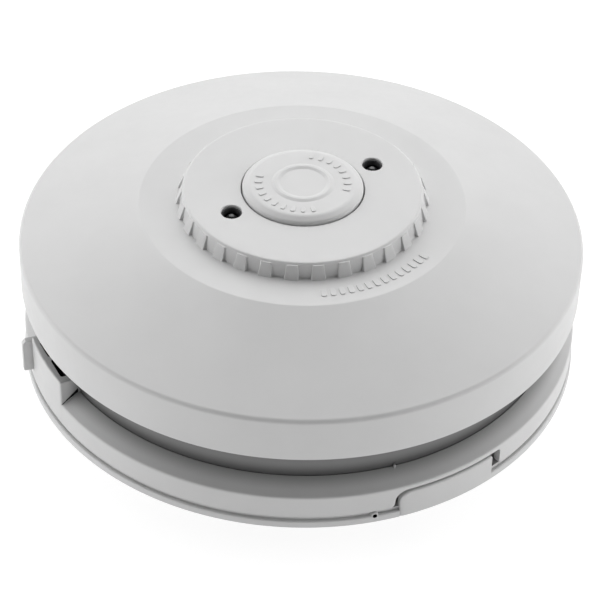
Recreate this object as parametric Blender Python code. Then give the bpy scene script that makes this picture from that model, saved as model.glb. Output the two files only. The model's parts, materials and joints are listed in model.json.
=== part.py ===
"""Mains smoke alarm with a round head on a screw-fixed mounting plate.

The origin is the centre of the mounting plate's back face. +Z points out of the ceiling or wall
towards the room, so the test button faces +Z. Sizes below are in millimetres and angles are in
degrees, measured from +X towards +Y. The builder functions turn them into metres.
"""
import math

import bpy
from mathutils import Matrix, Vector

MM = 0.001
GAP = 0.3

# Driving dimensions
COVER_RADIUS = 70.0
ALARM_HEIGHT = 48.9
PLATE_RADIUS = 70.1
PLATE_THICKNESS = 2.2
CABLE_HOLE_RADIUS = 17.0
SLOT_X = 30.15
SLOT_SIZE = (4.5, 14.0)
SLOT_PAD_SIZE = (9.4, 19.0)
SLOT_PAD_TOP = 2.6
ROUND_HOLE_RADIUS = 2.3
ROUND_HOLES_FROM_CENTRE = 38.0
ROUND_HOLE_ANGLES = (225.0, 315.0)
LOCATING_RING = (65.9, 67.2)
LOCATING_TOP = 5.5
LOCATING_ARCS = ((50.0, 144.0), (170.0, 192.0), (206.0, 264.0), (318.0, 385.0))
KEEPER_ANGLES = (195.4, 198.2)
ROOTED = 1.2
RIM_RADIUS = 69.75
RIM_BOTTOM = 3.1
RIM_TOP = 9.4
RIM_INNER = 67.9
SEAL_RIB = (52.0, 54.0)
SEAL_RIB_BOTTOM = 10.4
SEAL_TOP = 11.6
WALL_RADIUS = 64.8
WALL_INNER = 63.2
WALL_TOP = 18.0
SKIRT_BOTTOM = 22.0
SKIRT_TOP = 33.2
CONE_TOP_RADIUS = 39.85
CONE_TOP = 43.3
DISC_TOP = 47.2
COVER_WALL = 2.0
GRIP_RIB_COUNT = 30
GRIP_RIB_PHASE = 2.1
BUTTON_RADIUS = 15.0
LAMP_RADIUS_FROM_CENTRE = 20.0
LAMP_ANGLES = (31.4, 211.4)
LAMP_HOLE_RADIUS = 2.55
FLOOR_BOTTOM = 12.0
FLOOR_TOP = 13.8
BOARD_RADIUS = 55.0
BOARD_BOTTOM = 17.0
BOARD_THICKNESS = 1.6
BOARD_TOP = BOARD_BOTTOM + BOARD_THICKNESS
ON_BOARD = BOARD_TOP + GAP
CHAMBER_CENTRE = (0.0, -28.0)
CHAMBER_RADIUS = 20.5
SOUNDER_CENTRE = (0.0, 26.5)
SOUNDER_RADIUS = 19.0
BLOCK_ANGLE = 207.5
BLOCK_HALF_WIDTH = 9.35
BLOCK_BOTTOM = 8.9
BLOCK_TOP = 16.7
BLOCK_INNER = 63.2
POCKET_DEPTHS = (65.3, 67.3)
LATCH_ANGLE = 199.4
LATCH_TIP = 72.2
LATCH_BOTTOM = 6.4
LATCH_TOP = 15.8
LATCH_HALF_THICKNESS = 0.8
PANEL_ANGLES = (291.0, 312.3)
PANEL_TOP = 7.7
NOTCH_ANGLES = (290.0, 314.8)
HOOK_ANGLES = (30.0, 150.0, 270.0)
HOOK_LENGTH = 7.0
HOOK_POST = (61.2, 62.6)
HOOK_LIP = (61.9, 66.0)
HOOK_LIP_BOTTOM = 5.6
HOOK_TOP = 7.0
TAB_RING = (63.4, 68.6)
TAB_HEIGHTS = (3.7, 5.2)
TAB_LENGTH = 7.45
COVER_SCREW_ANGLES = (15.0, 135.0, 255.0)
COVER_SCREW_RADIUS = 58.8
BOARD_SCREW_ANGLES = (60.0, 180.0, 300.0)
BOARD_SCREW_RADIUS = 50.0
TERMINAL_X = (-8.5, 0.0, 8.5)
TERMINAL_NAMES = ("live", "neutral", "link")
PIN_Y = 29.0
TERMINAL_SCREW_Y = 33.6
PIN_RADIUS = 0.8
ROUND_STEPS = 60
SMALL_TURN = 7.0

FINISHES = {
    "white_abs": ((0.80, 0.80, 0.79), 0.45, 0.0),
    "white_button": ((0.82, 0.82, 0.81), 0.42, 0.0),
    "grey_abs": ((0.34, 0.34, 0.34), 0.5, 0.0),
    "grey_foam": ((0.16, 0.16, 0.17), 0.95, 0.0),
    "black_plastic": ((0.025, 0.025, 0.028), 0.55, 0.0),
    "smoked_plastic": ((0.04, 0.04, 0.045), 0.15, 0.0),
    "terminal_plastic": ((0.62, 0.63, 0.60), 0.5, 0.0),
    "board_laminate": ((0.03, 0.20, 0.08), 0.5, 0.0),
    "brass": ((0.80, 0.60, 0.28), 0.3, 1.0),
    "steel": ((0.62, 0.62, 0.64), 0.3, 1.0),
    "capacitor_film": ((0.75, 0.42, 0.06), 0.4, 0.0),
    "capacitor_sleeve": ((0.03, 0.05, 0.16), 0.35, 0.0),
    "varistor_coat": ((0.05, 0.16, 0.45), 0.4, 0.0),
    "cell_sleeve": ((0.55, 0.57, 0.60), 0.35, 0.0),
    "clear_lens": ((0.75, 0.78, 0.85), 0.08, 0.0),
    "copper": ((0.72, 0.38, 0.22), 0.4, 1.0),
}


def remove_everything():
    for item in list(bpy.data.objects):
        bpy.data.objects.remove(item, do_unlink=True)


def on_circle(radius, angle):
    turn = math.radians(angle)
    return radius * math.cos(turn), radius * math.sin(turn)


def finish_material(node_name, finish):
    colour, roughness, metallic = FINISHES[finish]
    material = bpy.data.materials.new(node_name + "_" + finish)
    material.use_nodes = True
    shader = material.node_tree.nodes["Principled BSDF"]
    shader.inputs["Base Color"].default_value = (*colour, 1.0)
    shader.inputs["Roughness"].default_value = roughness
    shader.inputs["Metallic"].default_value = metallic
    return material


def make_object(name, shape, finish=None, origin=(0.0, 0.0, 0.0), parent=None):
    """Object from (points, faces) in world millimetres, with its own origin at the given point."""
    points, faces = shape
    mesh = bpy.data.meshes.new(name)
    offset = Vector(origin)
    mesh.from_pydata([(Vector(point) - offset) * MM for point in points], [], faces)
    mesh.update()
    item = bpy.data.objects.new(name, mesh)
    bpy.context.scene.collection.objects.link(item)
    item.location = offset * MM
    if parent is not None:
        item.parent = parent
        item.location = offset * MM - parent.location
    mesh.shade_smooth()
    mesh.set_sharp_from_angle(angle=math.radians(35.0))
    if finish is not None:
        mesh.materials.append(finish_material(name, finish))
    return item


def joint_empty(name, location=(0.0, 0.0, 0.0), parent=None):
    empty = bpy.data.objects.new(name, None)
    bpy.context.scene.collection.objects.link(empty)
    empty.empty_display_size = 10 * MM
    empty.location = Vector(location) * MM
    if parent is not None:
        empty.parent = parent
        empty.location = Vector(location) * MM - parent.location
    return empty


# Shapes: each function returns (points, faces) in millimetres, with the faces pointing out.

def turned(outline, centre=(0.0, 0.0), steps=ROUND_STEPS, start=0.0):
    """Closed (radius, height) outline, listed anticlockwise, swept round a vertical axis.

    A point on the axis becomes one shared point.
    """
    angles = [start + 360.0 * step / steps for step in range(steps)]
    on_axis = [radius == 0.0 for radius, height in outline]
    points = []
    index = {}
    for turn, angle in enumerate(angles):
        for place, (radius, height) in enumerate(outline):
            if on_axis[place]:
                if turn == 0:
                    index[place] = len(points)
                    points.append((centre[0], centre[1], height))
                continue
            x, y = on_circle(radius, angle)
            index[(turn, place)] = len(points)
            points.append((centre[0] + x, centre[1] + y, height))
    faces = []
    count = len(outline)
    for turn in range(steps):
        after = (turn + 1) % steps
        for place in range(count):
            up = (place + 1) % count
            if on_axis[place] and on_axis[up]:
                continue
            corners = [
                index[place] if on_axis[place] else index[(turn, place)],
                index[place] if on_axis[place] else index[(after, place)],
                index[up] if on_axis[up] else index[(after, up)],
                index[up] if on_axis[up] else index[(turn, up)],
            ]
            faces.append(tuple(dict.fromkeys(corners)))
    return points, faces


def cylinder(radius, bottom, top, centre=(0.0, 0.0), steps=24):
    outline = [(0.0, bottom), (radius, bottom), (radius, top), (0.0, top)]
    return turned(outline, centre, steps, SMALL_TURN)


def tube(inner, outer, bottom, top, centre=(0.0, 0.0), steps=36):
    return turned([(inner, bottom), (outer, bottom), (outer, top), (inner, top)], centre, steps)


def prism(outline, bottom, top):
    """Anticlockwise (x, y) outline with a flat bottom and a flat top."""
    count = len(outline)
    points = [(x, y, bottom) for x, y in outline] + [(x, y, top) for x, y in outline]
    faces = [tuple(range(count - 1, -1, -1)), tuple(range(count, 2 * count))]
    for place in range(count):
        after = (place + 1) % count
        faces.append((place, after, after + count, place + count))
    return points, faces


def cuboid(size, centre):
    (width, depth, height), (x, y, z) = size, centre
    corners = [(x - width / 2, y - depth / 2), (x + width / 2, y - depth / 2),
               (x + width / 2, y + depth / 2), (x - width / 2, y + depth / 2)]
    return prism(corners, z - height / 2, z + height / 2)


def sector(inner, outer, start, end, bottom, top, step=2.5):
    """Part of a ring between two angles."""
    count = max(1, math.ceil((end - start) / step))
    angles = [start + (end - start) * place / count for place in range(count + 1)]
    outline = [on_circle(outer, angle) for angle in angles]
    outline += [on_circle(inner, angle) for angle in reversed(angles)]
    return prism(outline, bottom, top)


def radial_bar(angle, near, far, half_width, bottom, top, shift=0.0):
    """Straight bar along the radial line at the given angle, shifted sideways if asked."""
    along = Vector((*on_circle(1.0, angle), 0.0))
    across = Vector((-along.y, along.x, 0.0))
    outline = []
    for distance, side in ((near, -half_width), (far, -half_width), (far, half_width), (near, half_width)):
        corner = along * distance + across * (side + shift)
        outline.append((corner.x, corner.y))
    return prism(outline, bottom, top)


def placed(shape, matrix):
    points, faces = shape
    return [tuple(matrix @ Vector(point)) for point in points], faces


def lying(shape, centre, axis):
    """Shape built round the Z axis, laid along +X or +Y with its zero at the centre."""
    turn = Matrix.Rotation(math.radians(90.0), 4, "Y") if axis == "X" else Matrix.Rotation(
        math.radians(-90.0), 4, "X")
    return placed(shape, Matrix.Translation(Vector(centre)) @ turn)


def coil(radius, wire, bottom, top, turns, steps=12, sides=5):
    """Round-wire helix with flat ends."""
    points = []
    total = int(turns * steps)
    for step in range(total + 1):
        angle = 2.0 * math.pi * step / steps
        height = bottom + wire + (top - bottom - 2 * wire) * step / total
        outward = Vector((math.cos(angle), math.sin(angle), 0.0))
        for side in range(sides):
            swing = 2.0 * math.pi * side / sides
            point = outward * (radius + wire * math.cos(swing))
            points.append((point.x, point.y, height + wire * math.sin(swing)))
    faces = [tuple(range(sides)), tuple(range(total * sides + sides - 1, total * sides - 1, -1))]
    for step in range(total):
        for side in range(sides):
            low = step * sides
            after = (side + 1) % sides
            faces.append((low + side, low + sides + side, low + sides + after, low + after))
    return points, faces


def combine(item, operation, shapes):
    """Boolean each shape into the object, through hidden cutter objects."""
    for number, shape in enumerate(shapes):
        cutter = make_object(f"{item.name}_{operation.lower()}_{number}", shape)
        cutter.hide_render = True
        cutter.display_type = "WIRE"
        modifier = item.modifiers.new(cutter.name, "BOOLEAN")
        modifier.operation = operation
        modifier.solver = "EXACT"
        modifier.object = cutter


def add(item, shapes):
    combine(item, "UNION", shapes)


def cut(item, shapes):
    combine(item, "DIFFERENCE", shapes)


# Mounting plate and what stays on the ceiling

def build_mounting_plate():
    edge = PLATE_THICKNESS - 0.3
    outline = [(CABLE_HOLE_RADIUS, 0.0), (PLATE_RADIUS - 0.3, 0.0), (PLATE_RADIUS, 0.3),
               (PLATE_RADIUS, edge), (PLATE_RADIUS - 0.3, PLATE_THICKNESS),
               (CABLE_HOLE_RADIUS, PLATE_THICKNESS)]
    plate = make_object("mounting_plate", turned(outline), "white_abs")
    hooks = []
    for start in HOOK_ANGLES:
        end = start + HOOK_LENGTH
        hooks.append(sector(*HOOK_POST, start, end, ROOTED, HOOK_TOP))
        hooks.append(sector(*HOOK_LIP, start + 0.1, end - 0.1, HOOK_LIP_BOTTOM, HOOK_TOP - 0.1))
    locating_arcs = [sector(*LOCATING_RING, start, end, ROOTED, LOCATING_TOP, 6.0)
                     for start, end in LOCATING_ARCS]
    keeper_start, keeper_end = KEEPER_ANGLES
    keeper = [sector(*LOCATING_RING, keeper_start, keeper_end, ROOTED, LOCATING_TOP + 0.6),
              sector(64.5, 66.5, keeper_start + 0.1, keeper_end - 0.1,
                     LOCATING_TOP - 0.2, LOCATING_TOP + 0.5)]
    cable_panel = [sector(68.5, PLATE_RADIUS + 0.2, *PANEL_ANGLES, 1.0, PANEL_TOP)]
    pad_height = SLOT_PAD_TOP - ROOTED
    pads = [cuboid((*SLOT_PAD_SIZE, pad_height), (side * SLOT_X, 0.0, ROOTED + pad_height / 2))
            for side in (-1, 1)]
    add(plate, hooks + locating_arcs + keeper + cable_panel + pads)
    slots = [cuboid((*SLOT_SIZE, 8.0), (side * SLOT_X, 0.0, PLATE_THICKNESS / 2)) for side in (-1, 1)]
    rounds = [cylinder(ROUND_HOLE_RADIUS, -2.0, 4.0, on_circle(ROUND_HOLES_FROM_CENTRE, angle), 20)
              for angle in ROUND_HOLE_ANGLES]
    cut(plate, slots + rounds)


def build_terminal_block():
    centre_x = 0.55
    block = make_object("terminal_block", cuboid((29.5, 16.0, 8.7), (centre_x, 29.6, 6.85)),
                        "terminal_plastic")
    cavities = []
    wire_holes = []
    for x in TERMINAL_X:
        cavities.append(cuboid((6.3, 10.6, 8.0), (x + centre_x, 31.0, 7.6)))
        wire_holes.append(lying(cylinder(1.6, -3.0, 3.0, steps=16), (x + centre_x, 38.0, 6.4), "Y"))
    cut(block, cavities + wire_holes)
    for x, role in zip(TERMINAL_X, TERMINAL_NAMES):
        clamp = make_object(f"terminal_clamp_{role}",
                            cuboid((5.7, 10.0, 5.0), (x + centre_x, 31.0, 6.4)), "brass")
        cut(clamp, [cuboid((3.5, 3.1, 9.0), (x + centre_x, PIN_Y, 6.4)),
                    cylinder(1.5, 0.0, 12.0, (x + centre_x, TERMINAL_SCREW_Y), 16)])
        build_screw(f"terminal_screw_{role}", (x + centre_x, TERMINAL_SCREW_Y), 9.2, 1, 2.3, 1.4,
                    1.2, 4.4, "steel")


def build_screw(name, centre, seat, direction, head_radius, head_height, shank_radius, shank_length,
                finish, parent=None):
    """Pan-head screw with a straight slot. Its head lies on the given side of the seat."""
    tip = seat - direction * shank_length
    crown = seat + direction * head_height
    outline = [(0.0, tip), (shank_radius, tip), (shank_radius, seat), (head_radius, seat),
               (head_radius, crown - direction * 0.4), (head_radius - 0.4, crown), (0.0, crown)]
    if direction < 0:
        outline.reverse()
    screw = make_object(name, turned(outline, centre, 10, SMALL_TURN), finish, parent=parent)
    cut(screw, [cuboid((head_radius * 3, 0.6, 1.2), (centre[0], centre[1], crown))])


# Head: the rear housing and what it carries

# Section of the rear housing: a tray with the seal's rib under its floor and a low wall round it
HOUSING_SECTION = [
    (0.0, FLOOR_BOTTOM), (SEAL_RIB[0], FLOOR_BOTTOM), (SEAL_RIB[0], SEAL_RIB_BOTTOM),
    (SEAL_RIB[1], SEAL_RIB_BOTTOM), (SEAL_RIB[1], FLOOR_BOTTOM), (WALL_RADIUS, FLOOR_BOTTOM),
    (WALL_RADIUS, WALL_TOP), (WALL_INNER, WALL_TOP), (WALL_INNER, FLOOR_TOP), (0.0, FLOOR_TOP),
]

# Section of the ring that the tray sits in: inner lip, outer rim and sloping smoke deck
RING_SECTION = [
    (62.2, 10.6), (64.0, 9.9), (RIM_INNER, 8.0), (RIM_INNER, RIM_BOTTOM), (RIM_RADIUS - 0.3, RIM_BOTTOM),
    (RIM_RADIUS, RIM_BOTTOM + 0.3), (RIM_RADIUS, RIM_TOP - 0.5), (RIM_RADIUS - 0.5, RIM_TOP),
    (WALL_RADIUS + GAP, 12.0), (WALL_RADIUS + GAP, FLOOR_BOTTOM - GAP), (62.2, FLOOR_BOTTOM - GAP),
]


def latch_block():
    """Box at the rim that houses the release latch. Its outer face follows the rim."""
    along = Vector(on_circle(1.0, BLOCK_ANGLE))
    across = Vector((-along.y, along.x))
    outer = RIM_RADIUS + 0.08
    sides = [BLOCK_HALF_WIDTH * (-1.0 + place / 4.0) for place in range(9)]
    outline = []
    for side in sides:
        corner = along * math.sqrt(outer * outer - side * side) + across * side
        outline.append(tuple(corner))
    for side in (BLOCK_HALF_WIDTH, -BLOCK_HALF_WIDTH):
        outline.append(tuple(along * BLOCK_INNER + across * side))
    return prism(outline, BLOCK_BOTTOM, BLOCK_TOP)


def latch_slot():
    return radial_bar(LATCH_ANGLE, 60.2, 75.0, LATCH_HALF_THICKNESS + GAP, LATCH_BOTTOM - GAP,
                      LATCH_TOP + GAP)


def build_rear_housing(parent):
    housing = make_object("rear_housing", turned(HOUSING_SECTION), "grey_abs", parent=parent)
    post_section = [(0.0, 13.0), (2.6, 13.0), (2.6, 16.7), (1.4, 16.7), (1.4, 14.4), (0.0, 14.4)]
    posts = [turned(post_section, on_circle(BOARD_SCREW_RADIUS, angle), 12, SMALL_TURN)
             for angle in BOARD_SCREW_ANGLES]
    add(housing, posts)
    holes = [cylinder(1.7, 10.0, 16.0, on_circle(COVER_SCREW_RADIUS, angle), 16)
              for angle in COVER_SCREW_ANGLES]
    holes += [cylinder(PIN_RADIUS + GAP, 10.0, 16.0, (x, PIN_Y), 12) for x in TERMINAL_X]
    room_for_block = radial_bar(BLOCK_ANGLE, BLOCK_INNER - GAP, 75.0, BLOCK_HALF_WIDTH + GAP,
                                BLOCK_BOTTOM - GAP, 19.0)
    cut(housing, holes + [room_for_block, latch_slot()])


def build_bayonet_ring(parent):
    """Ring round the rear housing, with the bayonet tabs and the release latch's block."""
    ring = make_object("bayonet_ring", turned(RING_SECTION), "white_abs", parent=parent)
    tab_starts = [start + HOOK_LENGTH + 0.35 for start in HOOK_ANGLES]
    tabs = [sector(*TAB_RING, start, start + TAB_LENGTH, *TAB_HEIGHTS) for start in tab_starts]
    add(ring, [latch_block()] + tabs)
    pockets = [radial_bar(BLOCK_ANGLE, *POCKET_DEPTHS, 2.95, 6.4, 19.0, -3.55),
               radial_bar(BLOCK_ANGLE, *POCKET_DEPTHS, 3.4, 6.4, 19.0, 4.0)]
    cable_notch = [sector(66.4, 72.0, *NOTCH_ANGLES, 1.0, PANEL_TOP + GAP)]
    cut(ring, pockets + [latch_slot()] + cable_notch)


def build_release_latch(parent):
    """Radial finger tab, whose tooth slides under the plate's keeper when the head is turned."""
    origin = (*on_circle(67.0, LATCH_ANGLE), 11.0)
    tab = radial_bar(LATCH_ANGLE, 62.3, LATCH_TIP, LATCH_HALF_THICKNESS, LATCH_BOTTOM, LATCH_TOP)
    latch = make_object("release_latch", tab, "white_abs", origin, parent)
    add(latch, [radial_bar(LATCH_ANGLE, 62.4, 63.6, 0.75, 3.5, 7.0),
                radial_bar(LATCH_ANGLE, 62.5, 65.1, 0.7, 3.6, 5.0)])


def build_dust_seal(parent):
    """Foam ring whose top channel sits loosely over the housing's rib."""
    inner, outer = SEAL_RIB[0] - GAP, SEAL_RIB[1] + GAP
    lip = 0.5
    bottom = PLATE_THICKNESS + GAP
    channel = SEAL_RIB_BOTTOM - GAP
    outline = [(inner - lip, bottom), (outer + lip, bottom), (outer + lip, SEAL_TOP), (outer, SEAL_TOP),
               (outer, channel), (inner, channel), (inner, SEAL_TOP), (inner - lip, SEAL_TOP)]
    make_object("dust_seal", turned(outline, steps=40), "grey_foam", parent=parent)


def build_circuit_board(parent):
    board = make_object("circuit_board", cylinder(BOARD_RADIUS, BOARD_BOTTOM, BOARD_TOP, steps=40),
                        "board_laminate", parent=parent)
    cut(board, [cylinder(1.5, 15.0, 21.0, on_circle(BOARD_SCREW_RADIUS, angle), 12)
                for angle in BOARD_SCREW_ANGLES])
    for number, angle in enumerate(BOARD_SCREW_ANGLES, 1):
        build_screw(f"board_screw_{number}", on_circle(BOARD_SCREW_RADIUS, angle), ON_BOARD, 1, 2.4,
                    1.5, 1.1, 4.0, "steel", parent)
    for x, role in zip(TERMINAL_X, TERMINAL_NAMES):
        make_object(f"contact_pin_{role}", cylinder(PIN_RADIUS, 4.6, BOARD_BOTTOM - GAP, (x, PIN_Y), 12),
                    "brass", parent=parent)


def build_smoke_chamber(parent):
    centre_x, centre_y = CHAMBER_CENTRE
    base_top = 21.4
    base = make_object("chamber_base", cylinder(CHAMBER_RADIUS, ON_BOARD, base_top, CHAMBER_CENTRE, 40),
                       "black_plastic", parent=parent)
    vanes = []
    for step in range(12):
        angle = 30.0 * step + 15.0
        x, y = on_circle(16.6, angle)
        turn = Matrix.Translation((centre_x + x, centre_y + y, 0.0)) @ Matrix.Rotation(
            math.radians(angle + 40.0), 4, "Z")
        vanes.append(placed(cuboid((5.2, 1.1, 12.2), (0.0, 0.0, 26.9)), turn))
    cradles = [cuboid((5.0, 5.0, 3.6), (centre_x - 8.0, centre_y, 22.8)),
               cuboid((5.0, 5.0, 3.6), (centre_x + 7.2, centre_y + 4.0, 22.8))]
    add(base, vanes + cradles)
    screen = tube(19.4, 20.0, base_top + GAP, 33.1, CHAMBER_CENTRE, 40)
    make_object("insect_screen", screen, "steel", parent=parent)
    cap = [(0.0, 33.4), (CHAMBER_RADIUS, 33.4), (CHAMBER_RADIUS, 34.6), (CHAMBER_RADIUS - 0.6, 35.2),
           (0.0, 35.2)]
    make_object("chamber_cover", turned(cap, CHAMBER_CENTRE, 40), "black_plastic", parent=parent)
    emitter = turned([(0.0, -3.0), (2.3, -3.0), (2.3, 1.4), (1.6, 2.6), (0.0, 3.0)], steps=14)
    make_object("infrared_led", lying(emitter, (centre_x - 8.0, centre_y, 27.2), "X"), "clear_lens",
                parent=parent)
    make_object("photodiode", cuboid((2.4, 4.6, 4.6), (centre_x + 8.4, centre_y + 4.0, 27.2)),
                "smoked_plastic", parent=parent)
    lens = turned([(0.0, 0.0), (2.2, 0.0), (2.2, 0.5), (1.2, 1.1), (0.0, 1.3)], steps=14)
    turn = Matrix.Translation((centre_x + 6.8, centre_y + 4.0, 27.2)) @ Matrix.Rotation(
        math.radians(-90.0), 4, "Y")
    make_object("photodiode_lens", placed(lens, turn), "clear_lens", parent=parent)


def build_sounder(parent):
    case = [(15.4, ON_BOARD), (SOUNDER_RADIUS, ON_BOARD), (SOUNDER_RADIUS, 31.0), (16.9, 31.0),
            (16.9, 25.0), (15.4, 25.0)]
    make_object("sounder_case", turned(case, SOUNDER_CENTRE, 40), "black_plastic", parent=parent)
    make_object("piezo_disc", cylinder(16.4, 25.3, 25.8, SOUNDER_CENTRE, 36), "brass", parent=parent)
    lid = [(3.2, 31.3), (SOUNDER_RADIUS, 31.3), (SOUNDER_RADIUS, 32.5), (3.2, 32.5)]
    make_object("sounder_lid", turned(lid, SOUNDER_CENTRE, 40), "black_plastic", parent=parent)
    for number, x in enumerate((-9.0, 9.0), 1):
        spring = coil(1.6, 0.3, ON_BOARD, 25.0, 3.0, 8, 4)
        matrix = Matrix.Translation((SOUNDER_CENTRE[0] + x, SOUNDER_CENTRE[1], 0.0))
        make_object(f"piezo_contact_{number}", placed(spring, matrix), "steel", parent=parent)


def build_electronics(parent):
    """Parts standing on the board, each a hair above its laminate."""
    boxes = (
        ("film_capacitor", (8.0, 18.0, 13.0), (40.0, 12.0), "capacitor_film"),
        ("bridge_rectifier", (5.0, 4.6, 2.6), (27.0, -19.5), "black_plastic"),
        ("microcontroller", (6.0, 6.0, 1.6), (-22.5, 3.0), "black_plastic"),
        ("test_switch", (6.0, 6.0, 3.6), (0.0, 0.0), "black_plastic"),
    )
    for name, size, (x, y), finish in boxes:
        make_object(name, cuboid(size, (x, y, ON_BOARD + size[2] / 2)), finish, parent=parent)
    drums = (
        ("smoothing_capacitor_1", 5.0, 12.0, (31.0, -8.0), "capacitor_sleeve"),
        ("smoothing_capacitor_2", 4.0, 9.0, (43.0, -8.0), "capacitor_sleeve"),
        ("sounder_inductor", 4.5, 9.0, (-26.0, 25.0), "copper"),
    )
    for name, radius, height, centre, finish in drums:
        outline = [(0.0, ON_BOARD), (radius, ON_BOARD), (radius, ON_BOARD + height - 0.5),
                   (radius - 0.5, ON_BOARD + height), (0.0, ON_BOARD + height)]
        make_object(name, turned(outline, centre, 20), finish, parent=parent)
    disc = lying(cylinder(4.6, -1.8, 1.8, steps=20), (37.0, -20.0, ON_BOARD + 4.6), "X")
    make_object("surge_varistor", disc, "varistor_coat", parent=parent)
    body = lying(cylinder(1.8, -6.5, 6.5, steps=16), (30.0, 10.0, ON_BOARD + 1.8), "Y")
    make_object("fusible_resistor", body, "terminal_plastic", parent=parent)
    cell = [(0.0, -15.5), (8.4, -15.5), (8.4, 14.0), (7.8, 14.6), (3.0, 14.6), (3.0, 15.5), (0.0, 15.5)]
    make_object("backup_cell", lying(turned(cell, steps=28), (-39.0, 0.0, ON_BOARD + 8.6), "Y"),
                "cell_sleeve", parent=parent)
    for name, y in (("cell_clip_rear", -16.4), ("cell_clip_front", 16.4)):
        make_object(name, cuboid((9.0, 0.6, 13.0), (-39.0, y, ON_BOARD + 6.5)), "steel", parent=parent)


def build_indicators(parent):
    for role, angle in zip(("alarm", "power"), LAMP_ANGLES):
        centre = on_circle(LAMP_RADIUS_FROM_CENTRE, angle)
        make_object(f"{role}_led", cuboid((3.2, 2.0, 1.6), (*centre, ON_BOARD + 0.8)), "clear_lens",
                    parent=parent)
        pipe = [(0.0, 21.0), (1.5, 21.0), (1.8, 44.6), (1.3, 45.7), (0.0, 46.1)]
        make_object(f"{role}_light_pipe", turned(pipe, centre, 16), "smoked_plastic", parent=parent)


# Head: the front cover and the button

WELL_INNER = BUTTON_RADIUS + 0.2
WELL_OUTER = WELL_INNER + 1.4
INNER_CONE_TOP = CONE_TOP - COVER_WALL - 0.2

# Section of the front cover: the button's well, disc roof, cone, skirt and back over the outside
COVER_SECTION = [
    (2.8, 37.8), (WELL_OUTER, 37.8), (WELL_OUTER, DISC_TOP - COVER_WALL), (27.6, DISC_TOP - COVER_WALL),
    (28.2, INNER_CONE_TOP), (CONE_TOP_RADIUS - 0.6, INNER_CONE_TOP), (67.0, SKIRT_TOP - COVER_WALL),
    (68.3, SKIRT_TOP - 3.6), (68.3, SKIRT_BOTTOM), (COVER_RADIUS, SKIRT_BOTTOM),
    (COVER_RADIUS, SKIRT_TOP - 0.6), (COVER_RADIUS - 0.5, SKIRT_TOP + 0.6), (68.4, SKIRT_TOP + 1.2),
    (CONE_TOP_RADIUS, CONE_TOP - 0.1), (CONE_TOP_RADIUS - 0.4, CONE_TOP), (30.2, CONE_TOP),
    (29.4, DISC_TOP - 0.4), (29.1, DISC_TOP), (WELL_INNER, DISC_TOP), (WELL_INNER, 39.2), (2.8, 39.2),
]


def grip_ribs():
    """Ring of separate wedges that lean on the disc's side, wider at the foot than at the crown."""
    points = []
    faces = []
    for rib in range(GRIP_RIB_COUNT):
        middle = GRIP_RIB_PHASE + rib * 360.0 / GRIP_RIB_COUNT
        start = len(points)
        for radius, half_angle, height in ((28.9, 3.2, CONE_TOP - 0.7), (31.1, 3.2, CONE_TOP - 0.7),
                                           (28.9, 2.6, DISC_TOP - 0.6), (29.8, 2.6, DISC_TOP - 0.6)):
            points.append((*on_circle(radius, middle - half_angle), height))
            points.append((*on_circle(radius, middle + half_angle), height))
        for corners in ((0, 1, 3, 2), (4, 6, 7, 5), (0, 4, 5, 1), (2, 3, 7, 6), (0, 2, 6, 4), (1, 5, 7, 3)):
            faces.append(tuple(start + corner for corner in corners))
    return points, faces


def build_front_cover(parent):
    cover = make_object("front_cover", turned(COVER_SECTION), "white_abs", parent=parent)
    bosses = [cylinder(2.9, FLOOR_TOP + GAP, 35.9, on_circle(COVER_SCREW_RADIUS, angle), 16)
              for angle in COVER_SCREW_ANGLES]
    add(cover, [grip_ribs()] + bosses)
    holes = [cylinder(1.5, 10.0, 26.0, on_circle(COVER_SCREW_RADIUS, angle), 12)
             for angle in COVER_SCREW_ANGLES]
    holes += [cylinder(LAMP_HOLE_RADIUS, 42.0, 50.0, on_circle(LAMP_RADIUS_FROM_CENTRE, angle), 20)
              for angle in LAMP_ANGLES]
    cut(cover, holes)
    for number, angle in enumerate(COVER_SCREW_ANGLES, 1):
        build_screw(f"cover_screw_{number}", on_circle(COVER_SCREW_RADIUS, angle), FLOOR_BOTTOM - GAP,
                    -1, 2.8, 1.8, 1.2, 13.0, "steel", parent)


def build_test_button(parent):
    top = ALARM_HEIGHT
    outline = [(0.0, 24.2), (2.3, 24.2), (2.3, 44.6), (13.4, 44.6), (13.4, 42.4),
               (BUTTON_RADIUS - 0.1, 42.4), (BUTTON_RADIUS - 0.1, top - 1.0), (13.4, top), (7.5, top),
               (7.2, top + 0.15), (6.0, top + 0.15), (5.7, top), (0.0, top)]
    make_object("test_button", turned(outline, steps=36), "white_button", (0.0, 0.0, top), parent)


def build_button_spring(parent):
    make_object("button_spring", coil(4.4, 0.35, 39.5, 43.6, 3.0), "steel", (0.0, 0.0, 39.5), parent)


def main():
    remove_everything()
    seal_carrier = joint_empty("head_lift_axis")
    head = joint_empty("head_turn_axis", parent=seal_carrier)
    build_mounting_plate()
    build_terminal_block()
    build_dust_seal(seal_carrier)
    build_rear_housing(head)
    build_bayonet_ring(head)
    build_release_latch(head)
    build_circuit_board(head)
    build_smoke_chamber(head)
    build_sounder(head)
    build_electronics(head)
    build_indicators(head)
    build_front_cover(head)
    build_test_button(head)
    build_button_spring(head)


main()
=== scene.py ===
"""Looks of a mains smoke alarm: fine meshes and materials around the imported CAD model.

Lengths in this file are millimetres and angles are degrees from +X towards +Y, until a mesh or a
light is made. The alarm lies on its mounting plate, with +Z towards the room.
"""

import json
import math

import bmesh
import bpy
from mathutils import Matrix, Vector


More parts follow.
